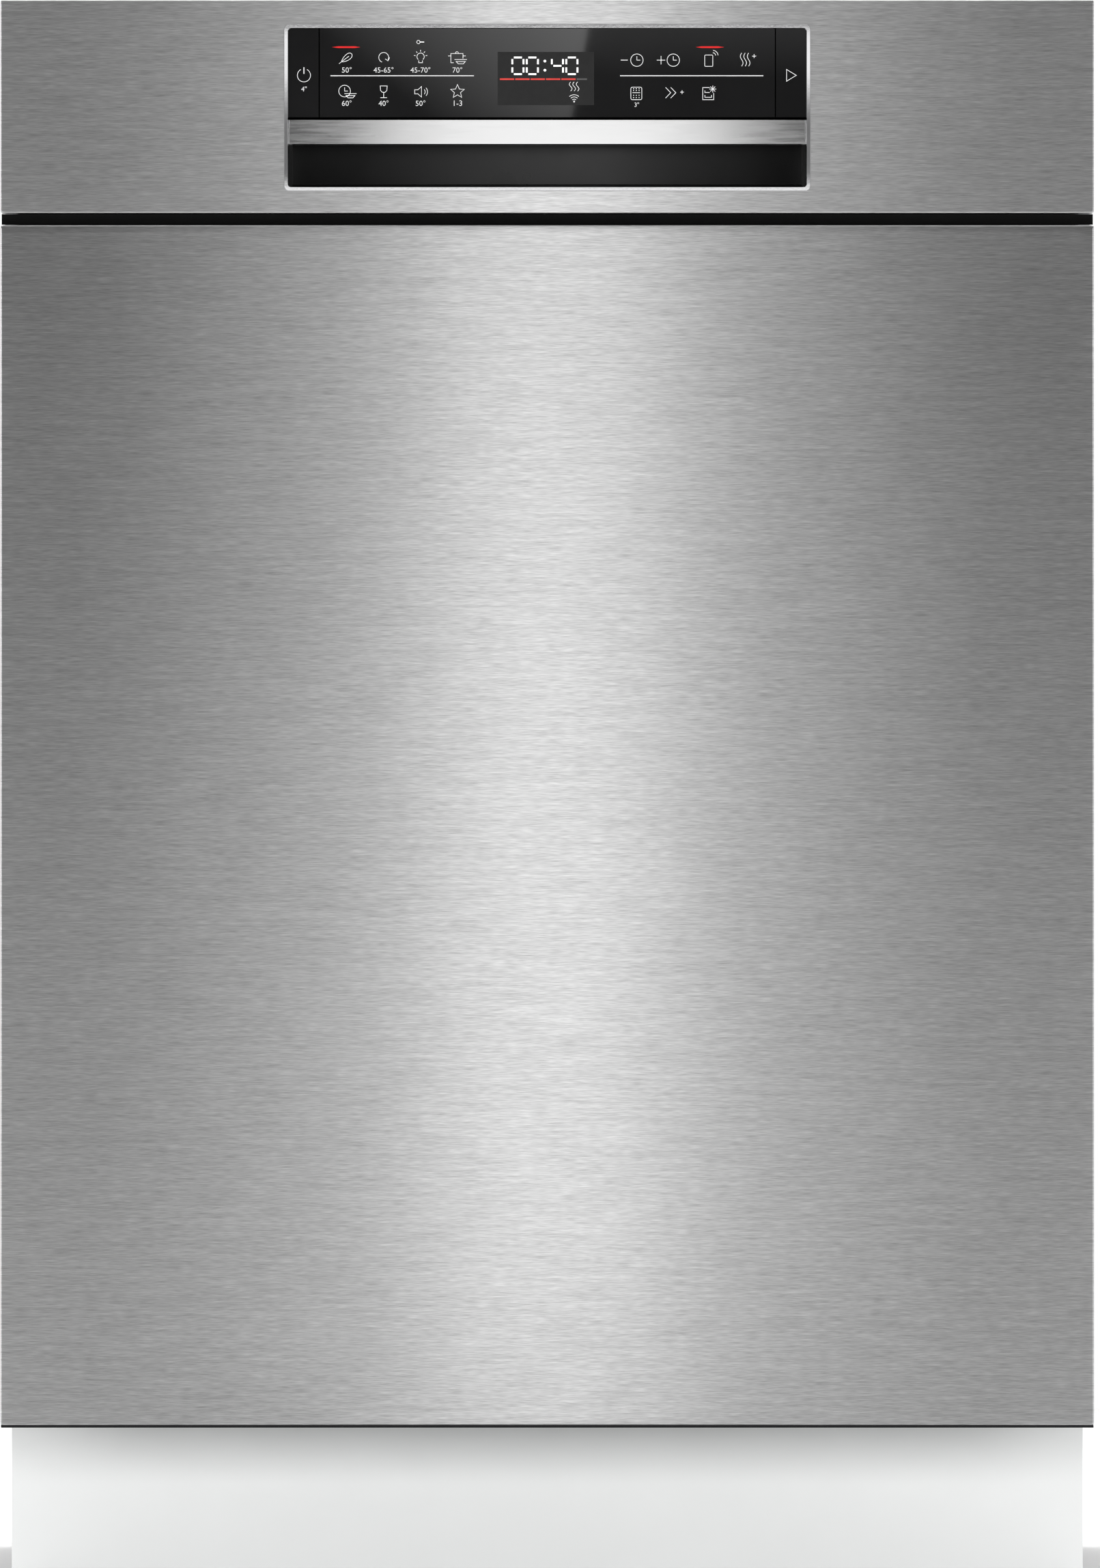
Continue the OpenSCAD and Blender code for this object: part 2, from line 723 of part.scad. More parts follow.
module upper_rack() {
    z1 = upper_z + wire + 0.3;
    color("silver") {
        rack_floor(rack_front, rack_back, upper_z);
        rack_side(rack_front, rack_back, z1, upper_h);
        rack_end(rack_back, z1, upper_h);
        rack_end(rack_front + wire, z1, upper_h - 30);
        translate([-80, 20, z1 + wire/2]) rotate([0, 0, 90]) comb(380, 70, 10);
    }
    color("dimgray") runners(rail_z[1]);
    // feed pipe from the riser to the arm's bearing
    color("whitesmoke") {
        block([-12, arm_hub.y - 12, upper_z - 16], [12, riser_y - 0.5, upper_z - 0.3]);
        rod_z(upper_z - 38, upper_z - 15, arm_hub.x, arm_hub.y, hub_r);
        rod_z(upper_z - 41, upper_z - 38, arm_hub.x, arm_hub.y, hub_r + 4);
    }
}

module upper_tines() {
    color("silver") translate([90, 20, upper_z + wire + fold_gap + wire/2]) rotate([0, 0, 90]) comb(380, 80, 10);
}

// Folding cup shelf beside the rack wall
module cup_shelf(side) {
    shelf_w = 85;
    z = upper_z + 96;
    x1 = rack_half - wire - 3;
    color("whitesmoke") mirror([side < 0 ? 1 : 0, 0, 0])
        translate([x1 - shelf_w/2, 20, z - wire/2]) grille(shelf_w, 340, 3, 7, wire);
}

module cup_shelf_left() { cup_shelf(-1); }

module cup_shelf_right() { cup_shelf(1); }

module cutlery_drawer() {
    z1 = cutlery_z + 2.6;
    wall_t = 3;
    color("gray") {
        translate([0, (rack_front + rack_back)/2, cutlery_z])
            grille(rack_w, rack_back - rack_front, 12, 8, 2.5);
        both_sides() block([rack_half - wall_t, rack_front, z1], [rack_half, rack_back, z1 + cutlery_h]);
        for (x = [-90, 90]) block([x - 1.5, rack_front + 4, z1], [x + 1.5, rack_back - 4, z1 + cutlery_h - 12]);
        block([-rack_half + wall_t + 0.2, rack_back - wall_t, z1], [rack_half - wall_t - 0.2, rack_back, z1 + cutlery_h]);
        block([-rack_half + wall_t + 0.2, rack_front, z1], [rack_half - wall_t - 0.2, rack_front + wall_t, z1 + cutlery_h]);
        runners(rail_z[2]);
    }
}

// ---- spray arms, filter and softener cap ----

// A hollow-looking arm with two blades on a hub ring that turns on its post
module spray_arm(z, reach, hub_h) {
    blade_w = 34;
    color("silver") translate([arm_hub.x, arm_hub.y, z]) difference() {
        union() {
            cylinder(h = hub_h, r = 27);
            for (a = [0, 180]) rotate([0, 0, a]) linear_extrude(hub_h - 3) {
                translate([0, -blade_w/2]) square([reach - blade_w/2, blade_w]);
                translate([reach - blade_w/2, 0]) circle(blade_w/2);
            }
        }
        translate([0, 0, -1]) cylinder(h = hub_h + 2, r = hub_r + running_gap);
        for (a = [0, 180], k = [1:6]) rotate([0, 0, a])
            translate([40 + k*(reach - 60)/6.5, (k%2 - 0.5)*12, hub_h - 5]) cylinder(h = 6, r = 2);
    }
}

module lower_spray_arm() { spray_arm(sump_top + 14, 222, 15); }

module upper_spray_arm() { spray_arm(upper_z - 36, 212, 13); }

module filter_cylinder() {
    top = tub_floor + tub_t + 8;
    color("dimgray") {
        difference() {
            rod_z(94, top - 6, filter_x, filter_y, filter_r);
            rod_z(98, top, filter_x, filter_y, filter_r - 3);
        }
        block([filter_x - filter_r + 2, filter_y - 2, top - 16], [filter_x + filter_r - 2, filter_y + 2, top]);
    }
}

module salt_cap() {
    top = tub_floor + tub_t + 9;
    color("dimgray") {
        rod_z(tub_floor + 0.2, top - 4, salt_x, salt_y, salt_r);
        block([salt_x - 24, salt_y - 4, top - 5], [salt_x + 24, salt_y + 4, top]);
    }
}

// ---- feet ----

module foot(x, y) {
    color("black") {
        rod_z(0, pad_h, x, y, pad_r);
        rod_z(pad_h - 1, boss_top - 4, x, y, stud_r);
    }
}

module foot_front_left() { foot(-foot_x, foot_front_y); }

module foot_front_right() { foot(foot_x, foot_front_y); }

module foot_rear() { foot(0, foot_rear_y); }

base_tray();
plinth_panel();
side_panel_left();
side_panel_right();
rear_panel();
top_cover();
front_frame();
worktop_brackets();
tub();
tub_seal();
lower_seal();
insulation_mats();
heat_exchanger();
sump();
filter_plate();
circulation_pump();
drain_pump();
softener();
inlet_valve();
drain_spigot();
mains_socket();
feed_riser();
rack_rails();
hinge_brackets();
hinge_pins();
door_springs();
latch_striker();
body_screws();
door_panel();
control_fascia();
fascia_carrier();
bezel();
control_glass();
handle_strip();
handle_recess();
control_module();
door_liner();
door_insulation();
hinge_arms();
door_latch();
dispenser();
power_button();
start_button();
dispenser_lid();
rinse_aid_cap();
lower_rack();
lower_tines_front();
lower_tines_rear();
lower_spray_arm();
upper_rack();
upper_tines();
cup_shelf_left();
cup_shelf_right();
upper_spray_arm();
cutlery_drawer();
filter_cylinder();
salt_cap();
foot_front_left();
foot_front_right();
foot_rear();
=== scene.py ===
"""Built-in dishwasher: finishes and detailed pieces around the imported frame.

Lengths in this file are millimetres in the frame of the part: X right, the front faces -Y,
Z up. The make_ functions turn them into metres.
"""
import json
import math

import bmesh
import bpy
from mathutils import Matrix, Vector

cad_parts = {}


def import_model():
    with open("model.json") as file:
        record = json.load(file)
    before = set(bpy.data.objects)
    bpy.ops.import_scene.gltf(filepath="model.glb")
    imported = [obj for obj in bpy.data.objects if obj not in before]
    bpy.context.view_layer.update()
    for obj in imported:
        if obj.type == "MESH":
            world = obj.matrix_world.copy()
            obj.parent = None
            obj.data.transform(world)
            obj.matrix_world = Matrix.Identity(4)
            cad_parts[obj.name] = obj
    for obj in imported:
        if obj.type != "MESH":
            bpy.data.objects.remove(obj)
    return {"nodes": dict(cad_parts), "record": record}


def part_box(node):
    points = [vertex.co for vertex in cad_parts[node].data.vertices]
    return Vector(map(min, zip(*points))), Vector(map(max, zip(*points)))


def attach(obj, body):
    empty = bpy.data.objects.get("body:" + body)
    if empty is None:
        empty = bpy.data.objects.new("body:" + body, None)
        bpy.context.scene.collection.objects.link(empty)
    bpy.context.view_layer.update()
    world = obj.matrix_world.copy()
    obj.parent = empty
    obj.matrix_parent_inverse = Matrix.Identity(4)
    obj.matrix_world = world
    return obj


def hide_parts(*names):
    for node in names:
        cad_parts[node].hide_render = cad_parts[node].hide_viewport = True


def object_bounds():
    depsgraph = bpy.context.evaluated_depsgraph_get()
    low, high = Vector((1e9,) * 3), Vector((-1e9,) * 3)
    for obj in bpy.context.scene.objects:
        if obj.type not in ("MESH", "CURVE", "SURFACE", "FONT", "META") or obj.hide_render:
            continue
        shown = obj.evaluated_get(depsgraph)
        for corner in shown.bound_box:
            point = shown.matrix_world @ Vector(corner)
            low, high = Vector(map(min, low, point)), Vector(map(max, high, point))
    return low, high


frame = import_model()
cad_low, cad_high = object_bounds()
nodes = frame["nodes"]
MM = 0.001


def corners(node):
    """Lowest and highest corner of a CAD node, in millimetres."""
    low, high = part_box(node)
    return low / MM, high / MM


# ---- places taken from the frame ----

DOOR_LOW, DOOR_HIGH = corners("door_panel")
FASCIA_LOW, FASCIA_HIGH = corners("control_fascia")
BEZEL_LOW, BEZEL_HIGH = corners("bezel")
GLASS_LOW = corners("control_glass")[0]
STRIP_LOW, STRIP_HIGH = corners("handle_strip")
RECESS_LOW, RECESS_HIGH = corners("handle_recess")
KEY_LOW, KEY_HIGH = corners("start_button")
SKIN_Y = DOOR_LOW.y
HALF_W = DOOR_HIGH.x


# ---- materials ----

class Nodes:
    """A node tree with short ways to add to it."""

    def __init__(self, tree):
        self.tree = tree

    def add(self, kind, sockets=None, **settings):
        """A new node; sockets holds a value or a source for each input, by its name or number."""
        made = self.tree.nodes.new("ShaderNode" + kind)
        for key, value in settings.items():
            setattr(made, key, value)
        for key, value in (sockets or {}).items():
            if isinstance(value, bpy.types.NodeSocket):
                self.link(value, made.inputs[key])
            else:
                made.inputs[key].default_value = value
        return made

    def link(self, source, target):
        self.tree.links.new(source, target)

    def spread(self, factor, low, high, start=0.3, end=0.7):
        """A number that runs from low to high as the factor runs from start to end."""
        ends = {"From Min": start, "From Max": end, "To Min": low, "To Max": high}
        return self.add("MapRange", {"Value": factor, **ends}).outputs["Result"]


class Paint(Nodes):
    """One node material with a Principled shader and a few short ways to drive it."""

    def __init__(self, name, colour, roughness, metallic=0.0):
        self.mat = bpy.data.materials.new(name)
        self.mat.use_nodes = True
        super().__init__(self.mat.node_tree)
        self.shader = self.tree.nodes["Principled BSDF"]
        self.set("Base Color", (*colour, 1))
        self.set("Roughness", roughness)
        self.set("Metallic", metallic)
        self.colour = colour
        self.place = self.add("TexCoord").outputs["Object"]

    def set(self, socket, value):
        self.shader.inputs[socket].default_value = value

    def stretched(self, scale):
        """Object coordinates in metres, scaled to the given cells per metre on X, Y and Z."""
        return self.add("Mapping", {"Vector": self.place, "Scale": scale}).outputs["Vector"]

    def noise(self, scale, detail=2.0, rough=0.5):
        """Noise of the given cells per metre, one number or one for each axis."""
        place = self.stretched(scale if isinstance(scale, tuple) else (scale,) * 3)
        sockets = {"Vector": place, "Scale": 1.0, "Detail": detail, "Roughness": rough}
        return self.add("TexNoise", sockets).outputs["Fac"]

    def cells(self, scale):
        place = self.stretched((scale,) * 3)
        return self.add("TexVoronoi", {"Vector": place, "Scale": 1.0}).outputs["Color"]

    def blend(self, first, second, share):
        return self.add("Mix", {"Factor": share, "A": first, "B": second}).outputs["Result"]

    def tint(self, factor, low, high, start=0.3, end=0.7):
        """Base colour multiplied by a factor between low and high."""
        shade = self.spread(factor, low, high, start, end)
        mixed = self.add("VectorMath", {0: self.colour, "Scale": shade}, operation="SCALE")
        self.link(mixed.outputs["Vector"], self.shader.inputs["Base Color"])

    def rough(self, factor, low, high, start=0.3, end=0.7):
        self.link(self.spread(factor, low, high, start, end), self.shader.inputs["Roughness"])

    def bump(self, height, depth):
        """Relief of the given depth in millimetres."""
        relief = self.add("Bump", {"Height": height, "Distance": depth * MM})
        self.link(relief.outputs["Normal"], self.shader.inputs["Normal"])

    def grain_direction(self, axis, strength):
        self.set("Anisotropic", strength)
        tangent = self.add("Tangent", direction_type="RADIAL", axis=axis)
        self.link(tangent.outputs["Tangent"], self.shader.inputs["Tangent"])


def brushed_steel():
    """Sheet brushed along X: hair lines about 8 mm long over broader cloudy streaks."""
    paint = Paint("brushed_steel", (0.75, 0.75, 0.75), 0.28, 1.0)
    hair = paint.noise((130, 130, 2000), 1)
    streak = paint.noise((36, 36, 620), 2)
    grain = paint.blend(hair, streak, 0.4)
    paint.tint(grain, 0.64, 1.30, 0.2, 0.8)
    paint.rough(paint.noise(12, 2), 0.275, 0.285)
    paint.bump(grain, 0.0004)
    paint.grain_direction("X", 0.75)
    return paint.mat


def stainless():
    """Satin sheet of the tub and the door liner, with a fainter rolled grain."""
    paint = Paint("stainless", (0.62, 0.62, 0.63), 0.28, 1.0)
    grain = paint.noise((900, 120, 120), 3, 0.6)
    cloud = paint.noise(14, 3)
    paint.tint(paint.blend(grain, cloud, 0.5), 0.90, 1.06)
    paint.rough(paint.blend(grain, cloud, 0.4), 0.24, 0.36)
    paint.bump(grain, 0.008)
    return paint.mat


def plain_metal(name, colour, low, high, cell=60, depth=0.01):
    """Cast, plated or polished metal with uneven gloss."""
    paint = Paint(name, colour, low, 1.0)
    cloud = paint.noise(cell, 4)
    paint.tint(cloud, 0.93, 1.04)
    paint.rough(cloud, low, high)
    paint.bump(paint.noise(cell * 12, 2), depth)
    return paint.mat


def grip_metal():
    """Bright satin aluminium, brushed along X."""
    paint = Paint("grip_metal", (0.88, 0.88, 0.88), 0.2, 1.0)
    grain = paint.noise((60, 900, 900), 2)
    paint.tint(grain, 0.97, 1.02)
    paint.rough(grain, 0.17, 0.23)
    return paint.mat


def galvanised():
    """Hot-dip sheet: a spangle of crystals 6 to 10 mm across and a dull bloom."""
    paint = Paint("galvanised", (0.56, 0.57, 0.585), 0.42, 0.85)
    crystal = paint.cells(130)
    bloom = paint.noise(9, 4)
    paint.tint(paint.blend(crystal, bloom, 0.55), 0.84, 1.10, 0.15, 0.85)
    paint.rough(paint.blend(crystal, bloom, 0.35), 0.34, 0.52, 0.1, 0.9)
    paint.bump(paint.noise(700, 2), 0.012)
    return paint.mat


def moulded(name, shade, roughness, grain=900, depth=0.02, cloud=18, specular=0.5):
    """Injection-moulded plastic: a fine spark-eroded grain and slight flow shading."""
    paint = Paint(name, shade, roughness)
    flow = paint.noise(cloud, 3)
    paint.tint(flow, 0.92, 1.06)
    paint.rough(flow, roughness - 0.05, roughness + 0.06)
    paint.bump(paint.noise(grain, 2), depth)
    paint.set("Specular IOR Level", specular)
    return paint.mat


def gloss(name, colour, roughness):
    """Polished black glass or lacquer: flat, with only a trace of handling haze."""
    paint = Paint(name, colour, roughness)
    haze = paint.noise(22, 4)
    paint.rough(haze, roughness, roughness * 1.3)
    paint.tint(haze, 0.9, 1.1)
    return paint.mat


def plinth_paint():
    """Matt white paint with a faint orange peel."""
    paint = Paint("plinth_white", (0.80, 0.81, 0.805), 0.5)
    paint.tint(paint.noise(7, 3), 0.985, 1.01)
    paint.rough(paint.noise(40, 3), 0.44, 0.56)
    paint.bump(paint.noise(420, 2), 0.02)
    return paint.mat


def felt():
    """Bitumen-backed felt: matted fibres."""
    paint = Paint("felt", (0.09, 0.09, 0.095), 0.95)
    fibre = paint.noise(900, 5, 0.7)
    paint.tint(fibre, 0.55, 1.6)
    paint.bump(fibre, 0.4)
    return paint.mat


def circuit_board():
    paint = Paint("circuit_board", (0.03, 0.13, 0.07), 0.35)
    paint.tint(paint.noise((260, 260, 900), 0), 0.7, 1.7, 0.48, 0.52)
    return paint.mat


def glowing(name, colour, strength, body=(0.8, 0.8, 0.8)):
    """Back-lit print or a lamp behind the glass, a little uneven."""
    paint = Paint(name, body, 0.5)
    paint.set("Emission Color", (*colour, 1))
    wave = paint.spread(paint.noise(300, 2), 0.9 * strength, 1.1 * strength)
    paint.link(wave, paint.shader.inputs["Emission Strength"])
    paint.tint(paint.noise(200, 2), 0.95, 1.05)
    return paint.mat


MATERIALS = {made.name.split(".")[0]: made for made in (
    brushed_steel(), stainless(), grip_metal(), plinth_paint(), galvanised(), felt(), circuit_board(),
    plain_metal("bright_trim", (0.80, 0.80, 0.81), 0.08, 0.11),
    plain_metal("zinc_hardware", (0.50, 0.51, 0.52), 0.30, 0.45),
    plain_metal("spring_steel", (0.50, 0.50, 0.51), 0.18, 0.30),
    gloss("black_glass", (0.019, 0.019, 0.0195), 0.035),
    gloss("black_gloss", (0.008, 0.008, 0.008), 0.22),
    moulded("black_plastic", (0.006, 0.006, 0.006), 0.6, specular=0.2),
    moulded("dark_plastic", (0.055, 0.056, 0.06), 0.45),
    moulded("grey_plastic", (0.26, 0.27, 0.285), 0.42),
    moulded("pale_plastic", (0.56, 0.57, 0.58), 0.4),
    moulded("white_plastic", (0.74, 0.74, 0.72), 0.42),
    moulded("rack_wire", (0.38, 0.39, 0.40), 0.38, 500, 0.03, 30),
    moulded("spray_arm_plastic", (0.34, 0.35, 0.37), 0.36),
    moulded("seal_rubber", (0.018, 0.018, 0.02), 0.7, 1300, 0.03),
)}
PRINT_WHITE = glowing("print_white", (1.0, 1.0, 1.0), 0.42)
DIGIT_WHITE = glowing("digit_white", (1.0, 1.0, 1.0), 0.80)
LAMP_RED = glowing("lamp_red", (1.0, 0.03, 0.03), 0.75, (0.4, 0.01, 0.01))
BAR_RED = glowing("bar_red", (1.0, 0.10, 0.08), 0.62, (0.4, 0.02, 0.02))
BAR_UNLIT = glowing("bar_unlit", (0.6, 0.6, 0.6), 0.10, (0.1, 0.1, 0.1))
WINDOW_TINT = glowing("window_tint", (0.5, 0.5, 0.5), 0.03, (0.012, 0.012, 0.012))

for row in frame["record"]["subparts"]:
    node, slot = nodes[row["node"]], row["material_slot"]
    node.data.materials.clear()
    node.data.materials.append(MATERIALS[slot])


# ---- piece makers ----

def finish_piece(piece, body, slot, replaces=(), material=None):
    """Puts a new piece on its body and gives it the finish of a material slot."""
    bpy.context.scene.collection.objects.link(piece)
    piece.data.materials.append(material or MATERIALS[slot])
    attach(piece, body)
    if replaces:
        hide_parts(*replaces)
    return piece


def make_mesh(name, solid, body, slot, smooth=None, **settings):
    """A piece made from a (points, faces) pair; smooth is the angle for smooth_by_angle."""
    points, faces = solid
    mesh = bpy.data.meshes.new(name)
    mesh.from_pydata([Vector(p) * MM for p in points], [], faces)
    mesh.validate()
    shaped = bmesh.new()
    shaped.from_mesh(mesh)
    bmesh.ops.recalc_face_normals(shaped, faces=shaped.faces)
    shaped.to_mesh(mesh)
    shaped.free()
    piece = finish_piece(bpy.data.objects.new(name, mesh), body, slot, **settings)
    return smooth_by_angle(piece, smooth) if smooth else piece


def bevel(piece, width, segments=2, angle=30):
    """Rounds the sharp edges of a piece, width in millimetres."""
    rounder = piece.modifiers.new("edge", "BEVEL")
    rounder.width = width * MM
    rounder.segments = segments
    rounder.limit_method = "ANGLE"
    rounder.angle_limit = math.radians(angle)
    return piece


def smooth_by_angle(piece, angle=35):
    """Smooth shading that keeps sharp edges sharp and large faces flat."""
    piece.data.shade_smooth()
    piece.data.set_sharp_from_angle(angle=math.radians(angle))
    even = piece.modifiers.new("even_faces", "WEIGHTED_NORMAL")
    even.keep_sharp = True
    even.weight = 100
    return piece


def loft(rings, close=False, caps=True):
    """Points and faces of a skin over rings of equal length; close joins the last to the first."""
    count = len(rings[0])
    points = [p for ring in rings for p in ring]
    faces = []
    pairs = [(i, i + 1) for i in range(len(rings) - 1)]
    if close:
        pairs.append((len(rings) - 1, 0))
    for a, b in pairs:
        for k in range(count):
            n = (k + 1) % count
            faces.append((a * count + k, a * count + n, b * count + n, b * count + k))
    if caps and not close:
        faces.append(tuple(range(count)))
        faces.append(tuple(range((len(rings) - 1) * count, len(rings) * count)))
    return points, faces


def spread_out(low, high, count):
    return [low + (high - low) * k / (count - 1) for k in range(count)]


def circle(count):
    """Cosine and sine of count even steps round a circle."""
    return [(math.cos(2 * math.pi * k / count), math.sin(2 * math.pi * k / count)) for k in range(count)]


def round_ring(low_x, high_x, low_z, high_z, radius, y, steps=6):
    """A rectangle with round corners in the XZ plane at depth y."""
    ring = []
    centres = (
        (high_x - radius, high_z - radius, 0), (low_x + radius, high_z - radius, 90),
        (low_x + radius, low_z + radius, 180), (high_x - radius, low_z + radius, 270),
    )
    for cx, cz, start in centres:
        for k in range(steps + 1):
            a = math.radians(start + 90 * k / steps)
            ring.append((cx + radius * math.cos(a), y, cz + radius * math.sin(a)))
    return ring


def lathe(profile, centre, axis, steps=40):
    """Points and faces of a turned solid: profile holds (distance along the axis, radius)."""
    rings = []
    for along, radius in profile:
        ring = []
        for across, up in circle(steps):
            u, v = radius * across, radius * up
            offset = {"X": (along, u, v), "Y": (u, along, v), "Z": (u, v, along)}[axis]
            ring.append(tuple(c + o for c, o in zip(centre, offset)))
        rings.append(ring)
    return loft(rings)


def boxes(cuboids):
    """Points and faces of several cuboids, each a (low, high) pair."""
    points, faces = [], []
    sides = ((0, 1, 3, 2), (4, 6, 7, 5), (0, 4, 5, 1), (2, 3, 7, 6), (0, 2, 6, 4), (1, 5, 7, 3))
    for low, high in cuboids:
        start = len(points)
        xs, ys, zs = zip(low, high)
        points += [(x, y, z) for x in xs for y in ys for z in zs]
        faces += [tuple(start + k for k in side) for side in sides]
    return points, faces


def joined(*parts):
    """Several (points, faces) pairs as one."""
    points, faces = [], []
    for some_points, some_faces in parts:
        start = len(points)
        points += some_points
        faces += [tuple(start + k for k in face) for face in some_faces]
    return points, faces


def bend_corners(path, radius, closed=False, steps=4):
    """A path with each corner rounded by an arc, as a bent wire is."""
    points = [Vector(p) for p in path]
    count = len(points)
    made = []
    for k, corner in enumerate(points):
        if not closed and k in (0, count - 1):
            made.append(corner)
            continue
        before, after = points[k - 1], points[(k + 1) % count]
        into, out = (before - corner).normalized(), (after - corner).normalized()
        half = into.angle(out) / 2
        if half > math.radians(85):
            made.append(corner)
            continue
        reach = min(radius / math.tan(half), 0.45 * (before - corner).length, 0.45 * (after - corner).length)
        actual = reach * math.tan(half)
        centre = corner + (into + out).normalized() * (actual / math.sin(half))
        start = corner + into * reach - centre
        sweep = math.pi - 2 * half
        axis = start.cross(corner + out * reach - centre).normalized()
        for step in range(steps + 1):
            made.append(centre + Matrix.Rotation(sweep * step / steps, 3, axis) @ start)
    return made


def make_wires(name, paths, radius, body, slot, closed=(), resolution=2, **settings):
    """Round wires along the paths, in one piece; closed holds the numbers of the endless ones."""
    curve = bpy.data.curves.new(name, "CURVE")
    curve.dimensions = "3D"
    curve.bevel_depth = radius * MM
    curve.bevel_resolution = resolution
    curve.use_fill_caps = True
    for number, path in enumerate(paths):
        spline = curve.splines.new("POLY")
        spline.points.add(len(path) - 1)
        for point, place in zip(spline.points, path):
            point.co = (*(Vector(place) * MM), 1)
        spline.use_cyclic_u = number in closed
        spline.use_smooth = True
    return finish_piece(bpy.data.objects.new(name, curve), body, slot, **settings)


# ---- door skins ----

def folded_skin(name, low, high, top_roll, hole=None, node=None):
    """A sheet front with rolled edges, returned to the back and hemmed inward.

    The top band, top_roll high, leans back a little before it turns over.
    """
    edge_roll, hem, lean = 0.8, 7.6, 0.55
    start = high.z - top_roll

    def front_ring(side, top, back):
        ring = round_ring(low.x + side, high.x - side, low.z + side, high.z - top, 1.2, low.y + back, 3)
        if top_roll <= edge_roll:
            return ring
        return [(x, y + lean * (max(0.0, z - start) / top_roll) ** 2, z) for x, y, z in ring]

    outer = [front_ring(edge_roll, top, 0) for top in spread_out(top_roll, edge_roll, 5)]
    steps = 6
    for k in range(1, steps + 1):
        a = math.radians(90 * k / steps)
        side = edge_roll * (1 - math.sin(a))
        outer.append(front_ring(side, side, edge_roll * (1 - math.cos(a))))
    back_edge = round_ring(low.x, high.x, low.z, high.z, 1.2, high.y - 0.6, 3)
    folded = round_ring(low.x + 0.6, high.x - 0.6, low.z + 0.6, high.z - 0.6, 1.2, high.y, 3)
    hemmed = round_ring(low.x + hem, high.x - hem, low.z + hem, high.z - hem, 1.2, high.y, 3)
    inner_hem = [(x, y - 0.8, z) for x, y, z in hemmed]
    inside = round_ring(low.x + 0.8, high.x - 0.8, low.z + 0.8, high.z - 0.8, 1.2, high.y - 0.8, 3)
    inside_front = [(x, low.y + 0.8, z) for x, y, z in inside]
    rings = outer + [back_edge, folded, hemmed, inner_hem, inside, inside_front]
    points, faces = loft(rings, caps=not hole)
    if hole:
        # the front and the inner face are frames around the opening
        count = len(rings[0])
        for ring, y in ((rings[0], low.y), (rings[-1], low.y + 0.8)):
            start = len(points)
            points += ring
            opening = round_ring(*hole, 2, y, 3)
            points += opening
            for k in range(count):
                n = (k + 1) % count
                faces.append((start + k, start + n, start + count + n, start + count + k))
        first = len(rings) * count + count
        second = first + 2 * count
        for k in range(count):
            n = (k + 1) % count
            faces.append((first + k, first + n, second + n, second + k))
    skin = make_mesh(name, (points, faces), "door", "brushed_steel", replaces=(node,))
    welded = bmesh.new()
    welded.from_mesh(skin.data)
    bmesh.ops.remove_doubles(welded, verts=welded.verts, dist=1e-6)
    bmesh.ops.recalc_face_normals(welded, faces=welded.faces)
    welded.to_mesh(skin.data)
    welded.free()
    return smooth_by_angle(skin, 25)


# the door skin ends this far above the door's foot, over a black strip of painted shade
SHADE_STRIP_H = 1.3
folded_skin("door_skin", DOOR_LOW + Vector((0, 0, SHADE_STRIP_H)), DOOR_HIGH, 4.5, node="door_panel")
folded_skin("fascia_skin", FASCIA_LOW, FASCIA_HIGH, 0.8, node="control_fascia",
            hole=(BEZEL_LOW.x + 2, BEZEL_HIGH.x - 2, BEZEL_LOW.z + 2, BEZEL_HIGH.z - 2))


def shade_strip():
    """A thin black strip along the foot of the door panel, in the rubber finish: painted shade, standing in
    for the shaded bottom edge of the door.
    """
    low = DOOR_LOW
    strip = boxes([((-HALF_W + 0.3, low.y + 0.3, low.z), (HALF_W - 0.3, low.y + 20, low.z + SHADE_STRIP_H))])
    make_mesh("door_foot_shade_strip", strip, "door", "seal_rubber")


shade_strip()


# ---- control unit ----

def chrome_bezel():
    """A rim of flat facets: a broad land between a fine outer and a fine inner chamfer."""
    low, high = BEZEL_LOW, BEZEL_HIGH
    sections = (
        (0.0, 3.0, SKIN_Y - 0.02), (0.0, 3.0, low.y + 0.4), (0.3, 2.8, low.y), (2.1, 1.8, low.y),
        (2.4, 1.6, low.y + 0.4), (2.4, 1.6, high.y), (1.2, 2.0, high.y), (1.2, 2.0, SKIN_Y - 0.02),
    )
    rings = [round_ring(low.x + s, high.x - s, low.z + s, high.z - s, r, y, 6) for s, r, y in sections]
    make_mesh("bezel_rim", loft(rings, close=True), "door", "bright_trim", 28, replaces=("bezel",))


def grip_strip():
    """Crowned grip bar: a nearly flat face, crisp at the top, with a bright chamfer below."""
    low, high = STRIP_LOW, STRIP_HIGH
    top = high.z - 1.2
    crown, chamfer = 0.30, 0.5
    outline = []
    steps = 14
    for k in range(steps + 1):
        share = 2 * k / steps - 1
        z = low.z + chamfer + (top - low.z - chamfer) * k / steps
        outline.append((low.y + crown * share * share, z))
    outline += [(high.y, top), (high.y, low.z), (low.y + 1.0, low.z)]
    rings = [[(x, y + dy, z) for y, z in outline] for x, dy in
             ((low.x, 0.35), (low.x + 0.5, 0.0), (0, 0.0), (high.x - 0.5, 0.0), (high.x, 0.35))]
    make_mesh("grip_strip", loft(rings), "door", "grip_metal", 20, replaces=("handle_strip",))


